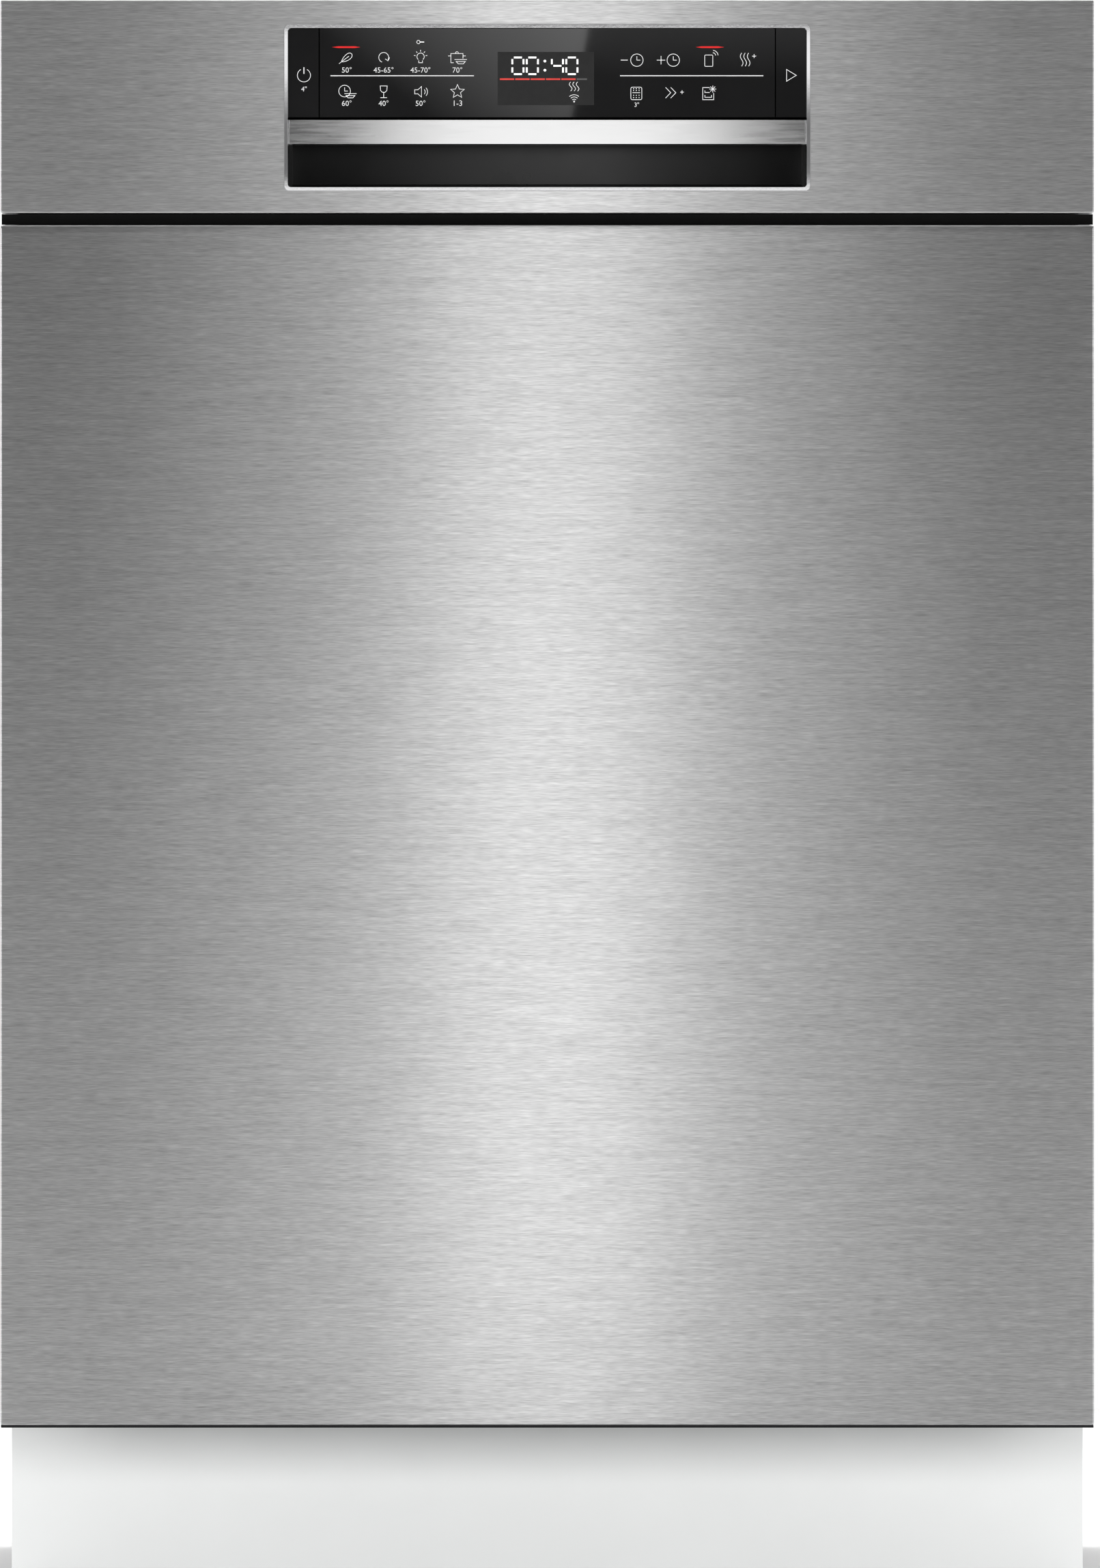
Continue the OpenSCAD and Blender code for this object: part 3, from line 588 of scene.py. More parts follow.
def recess_cup():
    """Glossy finger recess: a dished back that runs up behind the grip strip."""
    low, high = RECESS_LOW, RECESS_HIGH
    x0, x1 = low.x, high.x
    mouth_top = STRIP_LOW.z - 0.2
    outline = [(low.y, low.z + 0.2), (low.y + 1.5, low.z + 0.4)]
    steps = 10
    floor_r, roof_r = 2.0, 9.0
    back = high.y - 2
    for k in range(steps + 1):
        a = math.radians(90 * k / steps)
        outline.append((back - floor_r + floor_r * math.sin(a), low.z + 0.6 + floor_r * (1 - math.cos(a))))
    for k in range(steps + 1):
        a = math.radians(90 * k / steps)
        outline.append((back - roof_r + roof_r * math.cos(a), high.z - 2 - roof_r + roof_r * math.sin(a)))
    outline.append((SKIN_Y + 9, high.z - 2))
    outline += [(SKIN_Y + 9, mouth_top + 1), (SKIN_Y + 7, mouth_top + 1), (SKIN_Y + 7, high.z)]
    outline += [(high.y, high.z), (high.y, low.z), (low.y, low.z)]
    rings = [[(x, y, z) for y, z in outline] for x in (x0 + 2, x1 - 2)]
    ends = boxes([((x0, low.y + 0.3, low.z), (x0 + 2, high.y, mouth_top)),
                  ((x1 - 2, low.y + 0.3, low.z), (x1, high.y, mouth_top))])
    make_mesh("recess_cup", joined(loft(rings, caps=False), ends), "door", "black_gloss", 30,
              replaces=("handle_recess",))


chrome_bezel()
grip_strip()
recess_cup()
for name in ("control_glass", "power_button", "start_button"):
    bevel(nodes[name], 0.35, 3)


# ---- printed symbols ----

INK_Y = GLASS_LOW.y - 0.04
PEN = 0.36


class Ink:
    """Flat strokes just in front of the glass, gathered into one piece."""

    def __init__(self):
        self.points, self.faces = [], []
        self.x = self.z = 0.0

    def at(self, x, z):
        """Sets the place that the next strokes are measured from."""
        self.x, self.z = x, z
        return self

    def quad(self, *corners_xz):
        start = len(self.points)
        self.points += [(self.x + x, INK_Y, self.z + z) for x, z in corners_xz]
        self.faces.append(tuple(range(start, start + len(corners_xz))))

    def line(self, path, pen=PEN, closed=False):
        """A stroke with mitred corners along a path of (x, z) points."""
        points = [Vector(p) for p in path]
        count = len(points)
        left, right = [], []
        for k, point in enumerate(points):
            ways = []
            if closed or k > 0:
                ways.append((point - points[k - 1]).normalized())
            if closed or k < count - 1:
                ways.append((points[(k + 1) % count] - point).normalized())
            way = sum(ways, Vector((0, 0))).normalized()
            normal = Vector((-way.y, way.x))
            flat = Vector((-ways[0].y, ways[0].x))
            reach = pen / 2 / max(0.5, normal.dot(flat))
            left.append(point + normal * reach)
            right.append(point - normal * reach)
        for k in range(count if closed else count - 1):
            n = (k + 1) % count
            self.quad(left[k], left[n], right[n], right[k])

    def arc(self, x, z, radius, start=0, end=360, steps=20):
        whole = end - start >= 360
        path = []
        for k in range(steps if whole else steps + 1):
            a = math.radians(start + (end - start) * k / steps)
            path.append((x + radius * math.cos(a), z + radius * math.sin(a)))
        self.line(path, closed=whole)

    def dot(self, x, z, radius, steps=10):
        self.quad(*[(x + radius * u, z + radius * v) for u, v in circle(steps)])

    def bar(self, x0, x1, z0, z1):
        self.quad((x0, z0), (x1, z0), (x1, z1), (x0, z1))

    def box(self, x0, x1, z0, z1, radius):
        self.line([(x, z) for x, _, z in round_ring(x0, x1, z0, z1, radius, 0, 3)], closed=True)

    def plus(self, x, z, reach):
        self.bar(x - reach, x + reach, z - PEN / 2, z + PEN / 2)
        self.bar(x - PEN / 2, x + PEN / 2, z - reach, z + reach)

    def number(self, text, x, z, height):
        """Digits centred on x with their baseline at z, both in the part's frame."""
        letter = bpy.data.curves.new("number", "FONT")
        letter.body = text
        letter.size = height
        letter.align_x = "CENTER"
        letter.resolution_u = 3
        carrier = bpy.data.objects.new("number", letter)
        bpy.context.scene.collection.objects.link(carrier)
        bpy.context.view_layer.update()
        shape = bpy.data.meshes.new_from_object(carrier)
        start = len(self.points)
        grow = height / max(v.co.y for v in shape.vertices)
        self.points += [(x + grow * v.co.x, INK_Y, z + grow * v.co.y) for v in shape.vertices]
        self.faces += [tuple(start + k for k in p.vertices) for p in shape.polygons]
        bpy.data.objects.remove(carrier)
        bpy.data.meshes.remove(shape)
        bpy.data.curves.remove(letter)

    def make(self, name, body, material):
        piece = make_mesh(name, (self.points, self.faces), body, "black_glass", material=material)
        layer = piece.modifiers.new("layer", "SOLIDIFY")
        layer.thickness = 0.03 * MM
        layer.offset = 0
        return piece


def draw_clock(ink, radius):
    ink.arc(0, 0, radius)
    ink.line([(0, radius * 0.62), (0, 0), (radius * 0.55, 0)])


def draw_plates(ink, x, z, width):
    """A stack of plates seen from the side."""
    for half, level in ((0.5, z), (0.4, z - 1.1)):
        ink.line([(x - half * width, level), (x + half * width, level)])
    ink.line([(x - width * 0.36, z - 1.1), (x - width * 0.2, z - 2.3), (x + width * 0.2, z - 2.3),
              (x + width * 0.36, z - 1.1)])


def draw_steam(ink, height):
    """Three rising waves."""
    for shift in (-1.9, 0, 1.9):
        ink.line([(shift + 0.75 * math.sin(math.pi * k / 6), height * (k / 12 - 0.5)) for k in range(13)])


def draw_star(ink, radius):
    path = []
    for k in range(10):
        reach = radius * (0.45 if k % 2 else 1)
        a = math.radians(90 + 36 * k)
        path.append((reach * math.cos(a), reach * math.sin(a)))
    ink.line(path, closed=True)


def draw_leaf(ink, size):
    """An energy-saving leaf with its vein."""
    path = []
    for u, v in circle(16):
        across = 0.48 * v * (1 + 0.35 * u)
        path.append((size * (0.8 * u - 0.5 * across), size * (0.6 * u + 0.8 * across)))
    ink.line(path, closed=True)
    ink.line([(-size * 1.25, -size * 0.95), (size * 0.35, size * 0.26)])


def draw_loop_arrow(ink, radius):
    """A turning arrow for the automatic cycle."""
    ink.arc(0, 0, radius, -30, 250)
    tip = math.radians(-30)
    x, z = radius * math.cos(tip), radius * math.sin(tip)
    ink.line([(x - 1.5, z + 0.5), (x, z - 0.5), (x + 0.9, z + 1.3)])


def draw_bulb(ink, radius):
    ink.arc(0, 0.6, radius, -50, 230)
    top, foot = -radius * 0.75, -radius * 1.35
    ink.line([(-1.0, top), (-1.0, foot), (1.0, foot), (1.0, top)])
    for k in range(5):
        a = math.radians(10 + 40 * k)
        ink.line([(reach * math.cos(a), 0.6 + reach * math.sin(a)) for reach in (radius + 0.8, radius + 1.7)])


def draw_pot(ink):
    """A lidded pot above a stack of plates."""
    ink.line([(-3.6, -2.7), (-3.6, 2.3), (3.0, 2.3), (3.0, -0.4)])
    ink.line([(-3.6, -2.7), (-2.1, -2.7)])
    ink.arc(-0.3, 2.5, 0.8, 0, 180)
    for side in (-5.1, 3.0):
        ink.line([(side, 1.0), (side + 1.5, 1.0)])
    draw_plates(ink, 1.8, -1.0, 6.8)


def draw_glass(ink):
    """A stemmed glass."""
    ink.line([(-1.9, 3.2), (1.9, 3.2), (1.7, 0.7), (0.7, -0.3), (-0.7, -0.3), (-1.7, 0.7)], closed=True)
    ink.line([(0, -0.3), (0, -3.2)])
    ink.line([(-1.8, -3.2), (1.8, -3.2)])


def draw_quiet(ink):
    """Low noise: a loudspeaker cone with two small waves."""
    ink.line([(-3.2, -1.1), (-3.2, 1.1), (-1.5, 1.1), (0.5, 2.9), (0.5, -2.9), (-1.5, -1.1)], closed=True)
    ink.arc(0.6, 0, 1.9, -42, 42, 6)
    ink.arc(0.6, 0, 3.2, -42, 42, 8)


def draw_phone(ink):
    ink.box(-2.9, 1.5, -3.5, 2.7, 0.5)
    for radius in (1.7, 3.0):
        ink.arc(1.4, 2.3, radius, 5, 85, 6)


def draw_spray_box(ink):
    """A cabinet with upper and lower jets."""
    ink.box(-3.0, 3.0, -3.4, 3.4, 0.8)
    ink.line([(-2.1, 0.4), (2.1, 0.4)])
    for column in (-1.5, 0, 1.5):
        for level in (-2.3, -1.0, 1.6, 2.6):
            ink.dot(column, level, 0.3, 6)


def draw_care_box(ink):
    """A cabinet with a sparkle, for the cleaning cycle."""
    ink.line([(0.4, 3.2), (-3.4, 3.2), (-3.4, -3.4), (2.6, -3.4), (2.6, 0.2)])
    ink.line([(-2.2, 1.6), (-2.2, 0.5), (0.4, 0.5)])
    ink.line([(-2.2, -0.9), (-2.2, -2.1), (1.4, -2.1), (1.4, -0.9)])
    for u, v in circle(8)[:4]:
        ink.line([(2.1 - 1.9 * u, 2.4 - 1.9 * v), (2.1 + 1.9 * u, 2.4 + 1.9 * v)], 0.32)


def draw_waves_up(ink):
    """A wireless sign."""
    ink.dot(0, -1.5, 0.5)
    for radius in (1.5, 2.7, 3.9):
        ink.arc(0, -1.7, radius, 48, 132, 8)


def draw_clock_and_plates(ink):
    """The short cycle: a clock beside a stack of plates."""
    ink.x -= 1.2
    draw_clock(ink, 3.2)
    draw_plates(ink, 3.2, -1.4, 6.6)


def draw_double_arrow(ink):
    """Faster: two arrow heads and a plus."""
    for shift in (-2.4, 0.4):
        ink.line([(shift - 1.6, 2.9), (shift + 1.2, 0), (shift - 1.6, -2.9)])
    ink.plus(5.0, 0.3, 1.0)


PROGRAMME_COLUMNS = [GLASS_LOW.x + 14.8 + 20.17 * k for k in range(4)]
OPTION_COLUMNS = [48.7, 68.7, 89.0, 109.2]
ROW_TOP, ROW_BOTTOM = 833.4, 814.8
LABELS_TOP, LABELS_BOTTOM = 825.3, 807.1
OPTION_CLOCK_Z = 832.1
STATUS_X = 14.7


def glass_print():
    """Everything printed white on the fixed glass."""
    ink = Ink()
    first, second, third, fourth = PROGRAMME_COLUMNS
    minus, plus, phone, steam = OPTION_COLUMNS
    for draw, x, z, *size in (
        (draw_leaf, first, ROW_TOP, 3.4), (draw_loop_arrow, second, ROW_TOP + 0.2, 2.7),
        (draw_bulb, third, ROW_TOP, 2.0), (draw_pot, fourth, ROW_TOP),
        (draw_clock_and_plates, first, ROW_BOTTOM + 0.4), (draw_glass, second, ROW_BOTTOM),
        (draw_quiet, third, ROW_BOTTOM), (draw_star, fourth, ROW_BOTTOM + 0.1, 3.9),
        (draw_clock, minus + 0.3, OPTION_CLOCK_Z, 3.4), (draw_clock, plus + 0.2, OPTION_CLOCK_Z, 3.4),
        (draw_phone, phone, 832.2), (draw_steam, steam - 1.0, 832.4, 7.2),
        (draw_spray_box, minus, ROW_BOTTOM - 0.9), (draw_double_arrow, plus, 814.3),
        (draw_care_box, phone - 0.6, ROW_BOTTOM - 0.9),
        (draw_steam, STATUS_X, 817.7, 5.0), (draw_waves_up, STATUS_X, 811.0),
    ):
        draw(ink.at(x, z), *size)
    ink.at(0, 0)
    # the key sign over the third programme, the two rules, the minus and the plus signs
    ink.arc(third - 1.2, 842.0, 0.9)
    ink.line([(third - 0.3, 842.0), (third + 2.0, 842.0)], 0.6)
    for left, right in ((-118.5, -40.1), (39.8, 118.1)):
        ink.bar(left, right, 823.3, 823.85)
    ink.bar(minus - 8.5, minus - 4.7, 831.9, 832.35)
    ink.plus(plus - 6.5, OPTION_CLOCK_Z, 2.3)
    ink.plus(steam + 3.9, 834.3, 1.1)
    upper, lower = ("50°", "45-65°", "45-70°", "70°"), ("60°", "40°", "50°", "1-3")
    for x, top_label, bottom_label in zip(PROGRAMME_COLUMNS, upper, lower):
        ink.number(top_label, x, LABELS_TOP, 3.0)
        ink.number(bottom_label, x, LABELS_BOTTOM, 3.0)
    ink.number("3\"", minus + 0.2, 806.6, 2.4)
    ink.make("glass_symbols", "door", PRINT_WHITE)


def key_print():
    """The power sign with its hold time, and the start arrow."""
    middle = (KEY_LOW.x + KEY_HIGH.x) / 2
    ink = Ink()
    ink.arc(0.1 - middle, 823.8, 3.6, 118, 422)
    ink.line([(0.1 - middle, 824.6), (0.1 - middle, 828.2)], 0.6)
    ink.number("4\"", 0.2 - middle, 815.0, 2.7)
    ink.make("power_symbol", "power_key", PRINT_WHITE)
    ink = Ink()
    ink.line([(middle - 2.3, 827.0), (middle + 3.0, 823.8), (middle - 2.3, 820.6)], closed=True)
    ink.make("start_symbol", "start_key", PRINT_WHITE)


SEGMENTS = {"0": "abcdef", "4": "fgbc"}


def display():
    """Clock digits, progress bar and the faintly lighter window around them."""
    ink = Ink()
    width, height, pen, gap = 7.1, 10.1, 1.0, 0.35
    bottom = 823.95

    def bar_of(segment, x):
        left, right = x + pen / 2, x + width - pen / 2
        top, middle, low = bottom + height - pen / 2, bottom + height / 2, bottom + pen / 2
        ends = {
            "a": ((left, top), (right, top)), "d": ((left, low), (right, low)),
            "g": ((left, middle), (right, middle)), "f": ((left, middle), (left, top)),
            "b": ((right, middle), (right, top)), "e": ((left, low), (left, middle)),
            "c": ((right, low), (right, middle)),
        }[segment]
        a, b = Vector(ends[0]), Vector(ends[1])
        trim = (b - a).normalized() * (pen / 2 + gap)
        ink.line([a + trim, b - trim], pen)

    for digit, x in zip("0040", (-19.6, -11.7, 2.0, 9.9)):
        for segment in SEGMENTS[digit]:
            bar_of(segment, x)
    for z in (826.6, 831.6):
        ink.dot(-1.3, z, 0.75)
    ink.make("display_digits", "door", DIGIT_WHITE)
    lit, unlit, window = Ink(), Ink(), Ink()
    for k, (target, length) in enumerate([(lit, 7.8)] * 5 + [(unlit, 5.6)]):
        start = -25.9 + 8.4 * k
        target.bar(start, start + length, 821.25, 822.15)
    lit.make("progress_bar", "door", BAR_RED)
    unlit.make("progress_rest", "door", BAR_UNLIT)
    window.bar(-27.1, 25.6, 807.5, 836.6)
    window.make("display_window", "door", WINDOW_TINT).location.y = 0.03 * MM


def lamps():
    """Two selected-programme lamps, each a bar with pointed soft ends."""
    ink = Ink()
    for x in (-109.9, 89.0):
        ink.at(x, 839.2).quad((-7.8, 0), (-4.5, -0.45), (4.5, -0.45), (7.8, 0), (4.5, 0.45), (-4.5, 0.45))
    ink.make("programme_lamps", "door", LAMP_RED)


glass_print()
key_print()
display()
lamps()


# ---- racks ----

WIRE_R = 1.6
TINE_R = 1.7
BASKET_HALF, BASKET_BACK = 254, 236


def wire_basket(name, body, node, floor_z, front, foot, heights, columns, rows, inset=3.0):
    """A welded basket: U-shaped wires both ways, rails round the walls and a raised back.

    front and foot are the front wall's places at its top and at the floor, heights are the tops of
    the front, side and back walls, inset is how far inside the upright wires the two rings run.
    """
    half, back = BASKET_HALF, BASKET_BACK
    front_top, side_top, back_top = heights
    cross_z, along_z = floor_z + 1.8, floor_z + 3.5
    paths = []
    for x in spread_out(-half + 13, half - 13, columns):
        path = [(x, front, front_top), (x, foot, along_z), (x, back, along_z), (x, back, back_top)]
        paths.append(bend_corners(path, 12))
    for y in spread_out(foot + 22, back - 12, rows):
        path = [(-half, y, side_top), (-half, y, cross_z), (half, y, cross_z), (half, y, side_top)]
        paths.append(bend_corners(path, 14))
    for share in (0.34, 0.67):
        side_z = floor_z + share * (side_top - floor_z)
        lean = front + (foot - front) * (1 - share)
        ring = [(-half + inset, lean + 2, side_z), (half - inset, lean + 2, side_z),
                (half - inset, back - 3, side_z), (-half + inset, back - 3, side_z)]
        paths.append(bend_corners(ring, 14, True))
    rim = [(-half, back, side_top), (-half, foot, side_top), (-half + 8, front, front_top),
           (half - 8, front, front_top), (half, foot, side_top), (half, back, side_top)]
    paths.append(bend_corners(rim, 18, True))
    loops = {len(paths) - 1, len(paths) - 2, len(paths) - 3}
    if back_top > side_top + 5:
        crest = [(-half + 6, back, side_top), (-half + 6, back, back_top), (half - 6, back, back_top),
                 (half - 6, back, side_top)]
        paths.append(bend_corners(crest, 14))
    return make_wires(name, paths, WIRE_R, body, "rack_wire", closed=loops, replaces=(node,))


def tine_row(name, body, axis, at, low, high, z, tall, count, nodes_hidden=(), lean=1.0):
    """A rod along X or Y with upright pins whose tips lean over a little."""
    def place(u, across, up):
        return (u, at + across, z + up) if axis == "X" else (at + across, u, z + up)

    paths = [[place(low - 3, 0, 0), place(high + 3, 0, 0)]]
    for u in spread_out(low, high, count):
        paths.append([place(u, 0, 0), place(u, 0, tall * 0.6), place(u, 0.4 * lean, tall * 0.85),
                      place(u, lean, tall)])
    return make_wires(name, paths, TINE_R, body, "rack_wire", replaces=nodes_hidden)


def runner_pair(name, body, z):
    """The slides that a rack carries on its two sides: a web on the wires and a tongue in the rail."""
    solids = []
    for side in (-1, 1):
        for x0, x1, z0, z1 in ((256.2, 260.2, 2, 16), (260, 266.9, 5, 13)):
            xs = sorted((side * x0, side * x1))
            solids.append(((xs[0], -164, z + z0), (xs[1], 230, z + z1)))
        for y in (-150, -20, 110, 216):
            xs = sorted((side * 254.6, side * 257))
            solids.append(((xs[0], y - 8, z + 1), (xs[1], y + 8, z + 17)))
    return bevel(make_mesh(name, boxes(solids), body, "dark_plastic"), 0.8)


def rack_handle(name, body, y, z, width=180):
    """A moulded grip clipped over the front rail."""
    rings = []
    for share in spread_out(-1, 1, 9):
        swell = math.sqrt(max(0.05, 1 - abs(share) ** 6))
        rings.append([(share * width / 2, y + 3.4 * swell * u, z - 4 + 8.5 * swell * v)
                      for u, v in circle(14)])
    make_mesh(name, loft(rings), body, "grey_plastic").data.shade_smooth()


def lattice(low, high, bar, across, along):
    """Cuboids of a flat grid between two corners: frame bars, then the inner bars both ways."""
    solids = []
    for x in spread_out(low[0], high[0] - bar, across):
        solids.append(((x, low[1], low[2]), (x + bar, high[1], high[2])))
    for y in spread_out(low[1], high[1] - bar, along):
        solids.append(((low[0], y, low[2] + 0.3), (high[0], y + bar, high[2] - 0.3)))
    return solids


LOWER_Z = corners("lower_rack")[0].z
UPPER_Z = 500.0
ARM_Y = 15.0


def lower_basket():
    wire_basket("lower_wires", "lower_basket", "lower_rack", LOWER_Z, front=-187, foot=-138,
                heights=(372, 357, 397), columns=14, rows=11)
    tine_row("lower_fixed_pins", "lower_basket", "X", 40, -224, 224, LOWER_Z + 6.3, 110, 13)
    runner_pair("lower_runners", "lower_basket", 212)
    rack_handle("lower_handle", "lower_basket", -187, 374)
    for name, body, y in (("lower_tines_front", "front_tine_row", -22),
                          ("lower_tines_rear", "rear_tine_row", 102)):
        tine_row(name + "_pins", body, "X", y, -224, 224, LOWER_Z + 7.2, 109, 13, (name,))
        clips = [((x - 4, y - 5, LOWER_Z + 2), (x + 4, y + 5, LOWER_Z + 10.5)) for x in (-168, -19, 18, 168)]
        bevel(make_mesh(name + "_clips", boxes(clips), "lower_basket", "grey_plastic"), 1.2)


def upper_basket():
    wire_basket("upper_wires", "upper_basket", "upper_rack", UPPER_Z, front=-196, foot=-190,
                heights=(624, 652, 652), columns=14, rows=12, inset=0.0)
    tine_row("upper_fixed_pins", "upper_basket", "Y", -80, -168, 208, UPPER_Z + 6.3, 68, 11)
    tine_row("upper_tine_pins", "upper_tine_row", "Y", 90, -168, 208, UPPER_Z + 7.2, 77, 11,
             ("upper_tines",), lean=-1.0)
    clips = [((86, y - 4, UPPER_Z + 2), (94, y + 4, UPPER_Z + 10.5)) for y in (-112, 1, 152)]
    bevel(make_mesh("upper_tine_clips", boxes(clips), "upper_basket", "grey_plastic"), 1.2)
    runner_pair("upper_runners", "upper_basket", 565)
    rack_handle("upper_handle", "upper_basket", -195.5, 622)
    # water feed under the rack: a flat pipe with a docking collar, and the arm's bearing post
    sections = ((243, 11, 7), (236, 11, 7), (234, 9, 6), (60, 9, 6), (15, 12, 6.5), (4, 10, 5))
    pipe = [[(w * u, y, UPPER_Z - 8 + h * v) for u, v in circle(20)] for y, w, h in sections]
    post = lathe(((-15, 11.9), (-37.5, 11.9), (-38, 15.4), (-40, 16), (-41, 14.5), (-41, 0.5)),
                 (0, ARM_Y, UPPER_Z), "Z")
    make_mesh("upper_feed_pipe", joined(loft(pipe), post), "upper_basket", "pale_plastic", 40)


def cup_shelves():
    """Two slotted shelves that fold up against the basket's walls."""
    profile = ((-9, 2.0), (-9, 2.9), (9, 2.9), (9, 2.0))
    for node, body in (("cup_shelf_left", "left_cup_shelf"), ("cup_shelf_right", "right_cup_shelf")):
        low, high = corners(node)
        solids = lattice(low, high, 3.0, 4, 18)
        bevel(make_mesh(node + "_grid", boxes(solids), body, "pale_plastic", replaces=(node,)), 0.9)
        hinge_x = high.x - 1.5 if high.x > 0 else low.x + 1.5
        knuckles = [lathe(profile, (hinge_x, y, (low.z + high.z) / 2), "Y", 16) for y in (-120, 20, 160)]
        make_mesh(node + "_knuckles", joined(*knuckles), body, "pale_plastic", 40)


def cutlery_tray():
    """Third-level tray: slotted floor, rows of combs that hold knives and forks apart, a dipped front."""
    low, high = corners("cutlery_drawer")
    half, front, back = 256.0, -200.0, 238.0
    z0, top = low.z, high.z
    solids = lattice((-half, front, z0), (half, back, z0 + 2.5), 2.0, 44, 15)
    for side in (-1, 1):
        for thick, bottom in ((2.2, z0 + 2), (6, top - 2)):
            xs = sorted((side * half, side * (half - thick)))
            solids.append(((xs[0], front, bottom), (xs[1], back, top)))
    solids += [((-half + 2, back - 2.2, z0 + 2), (half - 2, back, top)),
               ((-half + 2, front, z0 + 2), (half - 2, front + 2.2, top - 14)),
               ((-half + 2, front, top - 16), (-90, front + 2.2, top)),
               ((90, front, top - 16), (half - 2, front + 2.2, top)),
               ((-92, front, top - 16), (92, front + 5, top - 13))]
    for x in (-90, 90):
        solids.append(((x - 1.2, front + 4, z0 + 2), (x + 1.2, back - 4, top - 12)))
    combs = ((-250, -200, 15), (-146, -96, 15), (-84, -30, 12), (30, 84, 12), (96, 146, 15), (200, 250, 15))
    for x0, x1, tall in combs:
        for y in spread_out(front + 14, back - 14, 32):
            solids.append(((x0, y - 0.8, z0 + 2), (x1, y + 0.8, z0 + tall)))
    tray = make_mesh("cutlery_tray_body", boxes(solids), "cutlery_tray", "grey_plastic",
                     replaces=("cutlery_drawer",))
    bevel(tray, 0.45, 1)
    runner_pair("cutlery_runners", "cutlery_tray", 764)


def spray_arm(node, body, reach):
    """A blown two-blade arm: swept blades with a crowned top, a hub ring and raised nozzles."""
    low, high = corners(node)
    bottom, top = low.z, high.z
    root = 19

    def crown(share):
        return (top - 3.2 - bottom) * (0.94 - 0.32 * share)

    def middle_y(side, share):
        return ARM_Y + side * 2.0 * math.sin(math.pi * share * 0.9)

    parts = []
    for side in (-1, 1):
        rings = []
        for share in spread_out(0, 1, 19):
            x = side * (root + (reach - root) * share)
            width = 16.5 - 4.5 * share
            if share > 0.9:
                width *= math.sqrt(max(0.02, 1 - ((share - 0.9) / 0.1) ** 2))
            ring = []
            for u, v in circle(16):
                height = crown(share) / 2 * (1 + math.copysign(abs(v) ** 0.6, v))
                ring.append((x, middle_y(side, share) + width * u, bottom + height))
            rings.append(ring)
        parts.append(loft(rings))
        for number in range(6):
            share = 0.12 + number * 0.145
            z = crown(share)
            centre = (side * (root + (reach - root) * share),
                      middle_y(side, share) + (5 if number % 2 else -5), bottom)
            nozzle = ((z - 3, 3.4), (z + 0.2, 3.2), (z + 1.2, 2.2), (z + 1.2, 1.3), (z - 0.8, 1.1))
            parts.append(lathe(nozzle, centre, "Z", 14))
    profile = ((12.1, bottom), (27, bottom), (27, top - 5), (25, top - 1.5), (21, top), (15, top),
               (12.1, top - 1))
    hub = [[(radius * u, ARM_Y + radius * v, z) for u, v in circle(40)] for radius, z in profile]
    parts.append(loft(hub, close=True))
    make_mesh(node + "_blades", joined(*parts), body, "spray_arm_plastic", 40, replaces=(node,))


lower_basket()
upper_basket()
cup_shelves()
cutlery_tray()
spray_arm("lower_spray_arm", "lower_arm", 222)
spray_arm("upper_spray_arm", "upper_arm", 212)


# ---- cabinet details ----

def bead(path, width, height, out):
    """A pressed rib: a low half-round ridge along a straight or bent path, tapering at both ends.

    out is the unit direction that the rib stands up in.
    """
    points = [Vector(p) for p in path]
    out = Vector(out)
    fine = []
    for a, b in zip(points, points[1:]):
        pieces = max(1, int((b - a).length / 12))
        fine += [a.lerp(b, k / pieces) for k in range(pieces)]
    fine.append(points[-1])
    travelled = [0.0]
    for a, b in zip(fine, fine[1:]):
        travelled.append(travelled[-1] + (b - a).length)
    rings = []
    for k, point in enumerate(fine):
        way = (fine[min(k + 1, len(fine) - 1)] - fine[max(k - 1, 0)]).normalized()
        across = way.cross(out)
        from_end = min(travelled[k], travelled[-1] - travelled[k])
        scale = min(1.0, 0.12 + from_end / (1.4 * width))
        half, rise = width / 2 * scale, height * scale
        ring = [point + across * half * u + out * rise * v for u, v in circle(16)[:9]]
        ring += [point + across * side - out * 0.2 for side in (-half, half)]
        rings.append(ring)
    return loft(rings)


def rib_sheet(name, ribs, slot="galvanised"):
    """Pressed ribs as one piece; each rib is (start, end, width, height, out)."""
    beads = [bead((start, end), width, height, out) for start, end, width, height, out in ribs]
    make_mesh(name, joined(*beads), "cabinet", slot, 40)


def sheet_beads():
    """Stiffening ribs pressed into the rear, the sides and the top."""
    rear = corners("rear_panel")[1].y
    top = corners("top_cover")[1].z
    back, up = (0, 1, 0), (0, 0, 1)
    ribs = [((-185, rear, z), (185, rear, z), 16, 1.7, back) for z in spread_out(250, 720, 6)]
    ribs += [((x, rear, 190), (x, rear, 790), 14, 1.7, back) for x in (-252, 252)]
    rib_sheet("rear_ribs", ribs)
    for side, name in ((-1, "left"), (1, "right")):
        face, out = side * corners("side_panel_right")[1].x, (side, 0, 0)
        ribs = [((face, y, 170), (face, y, 810), 18, 0.9, out) for y in (-150, -40, 95, 220)]
        ribs += [((face, -15, z), (face, 70, z), 14, 0.9, out) for z in (300, 490, 680)]
        rib_sheet(name + "_side_ribs", ribs)
    ribs = [((x, -95, top), (x, 185, top), 16, 1.8, up) for x in spread_out(-160, 160, 5)]
    ribs += [((x, -160, top), (x, 245, top), 14, 1.8, up) for x in (-250, 250)]
    rib_sheet("top_ribs", ribs)


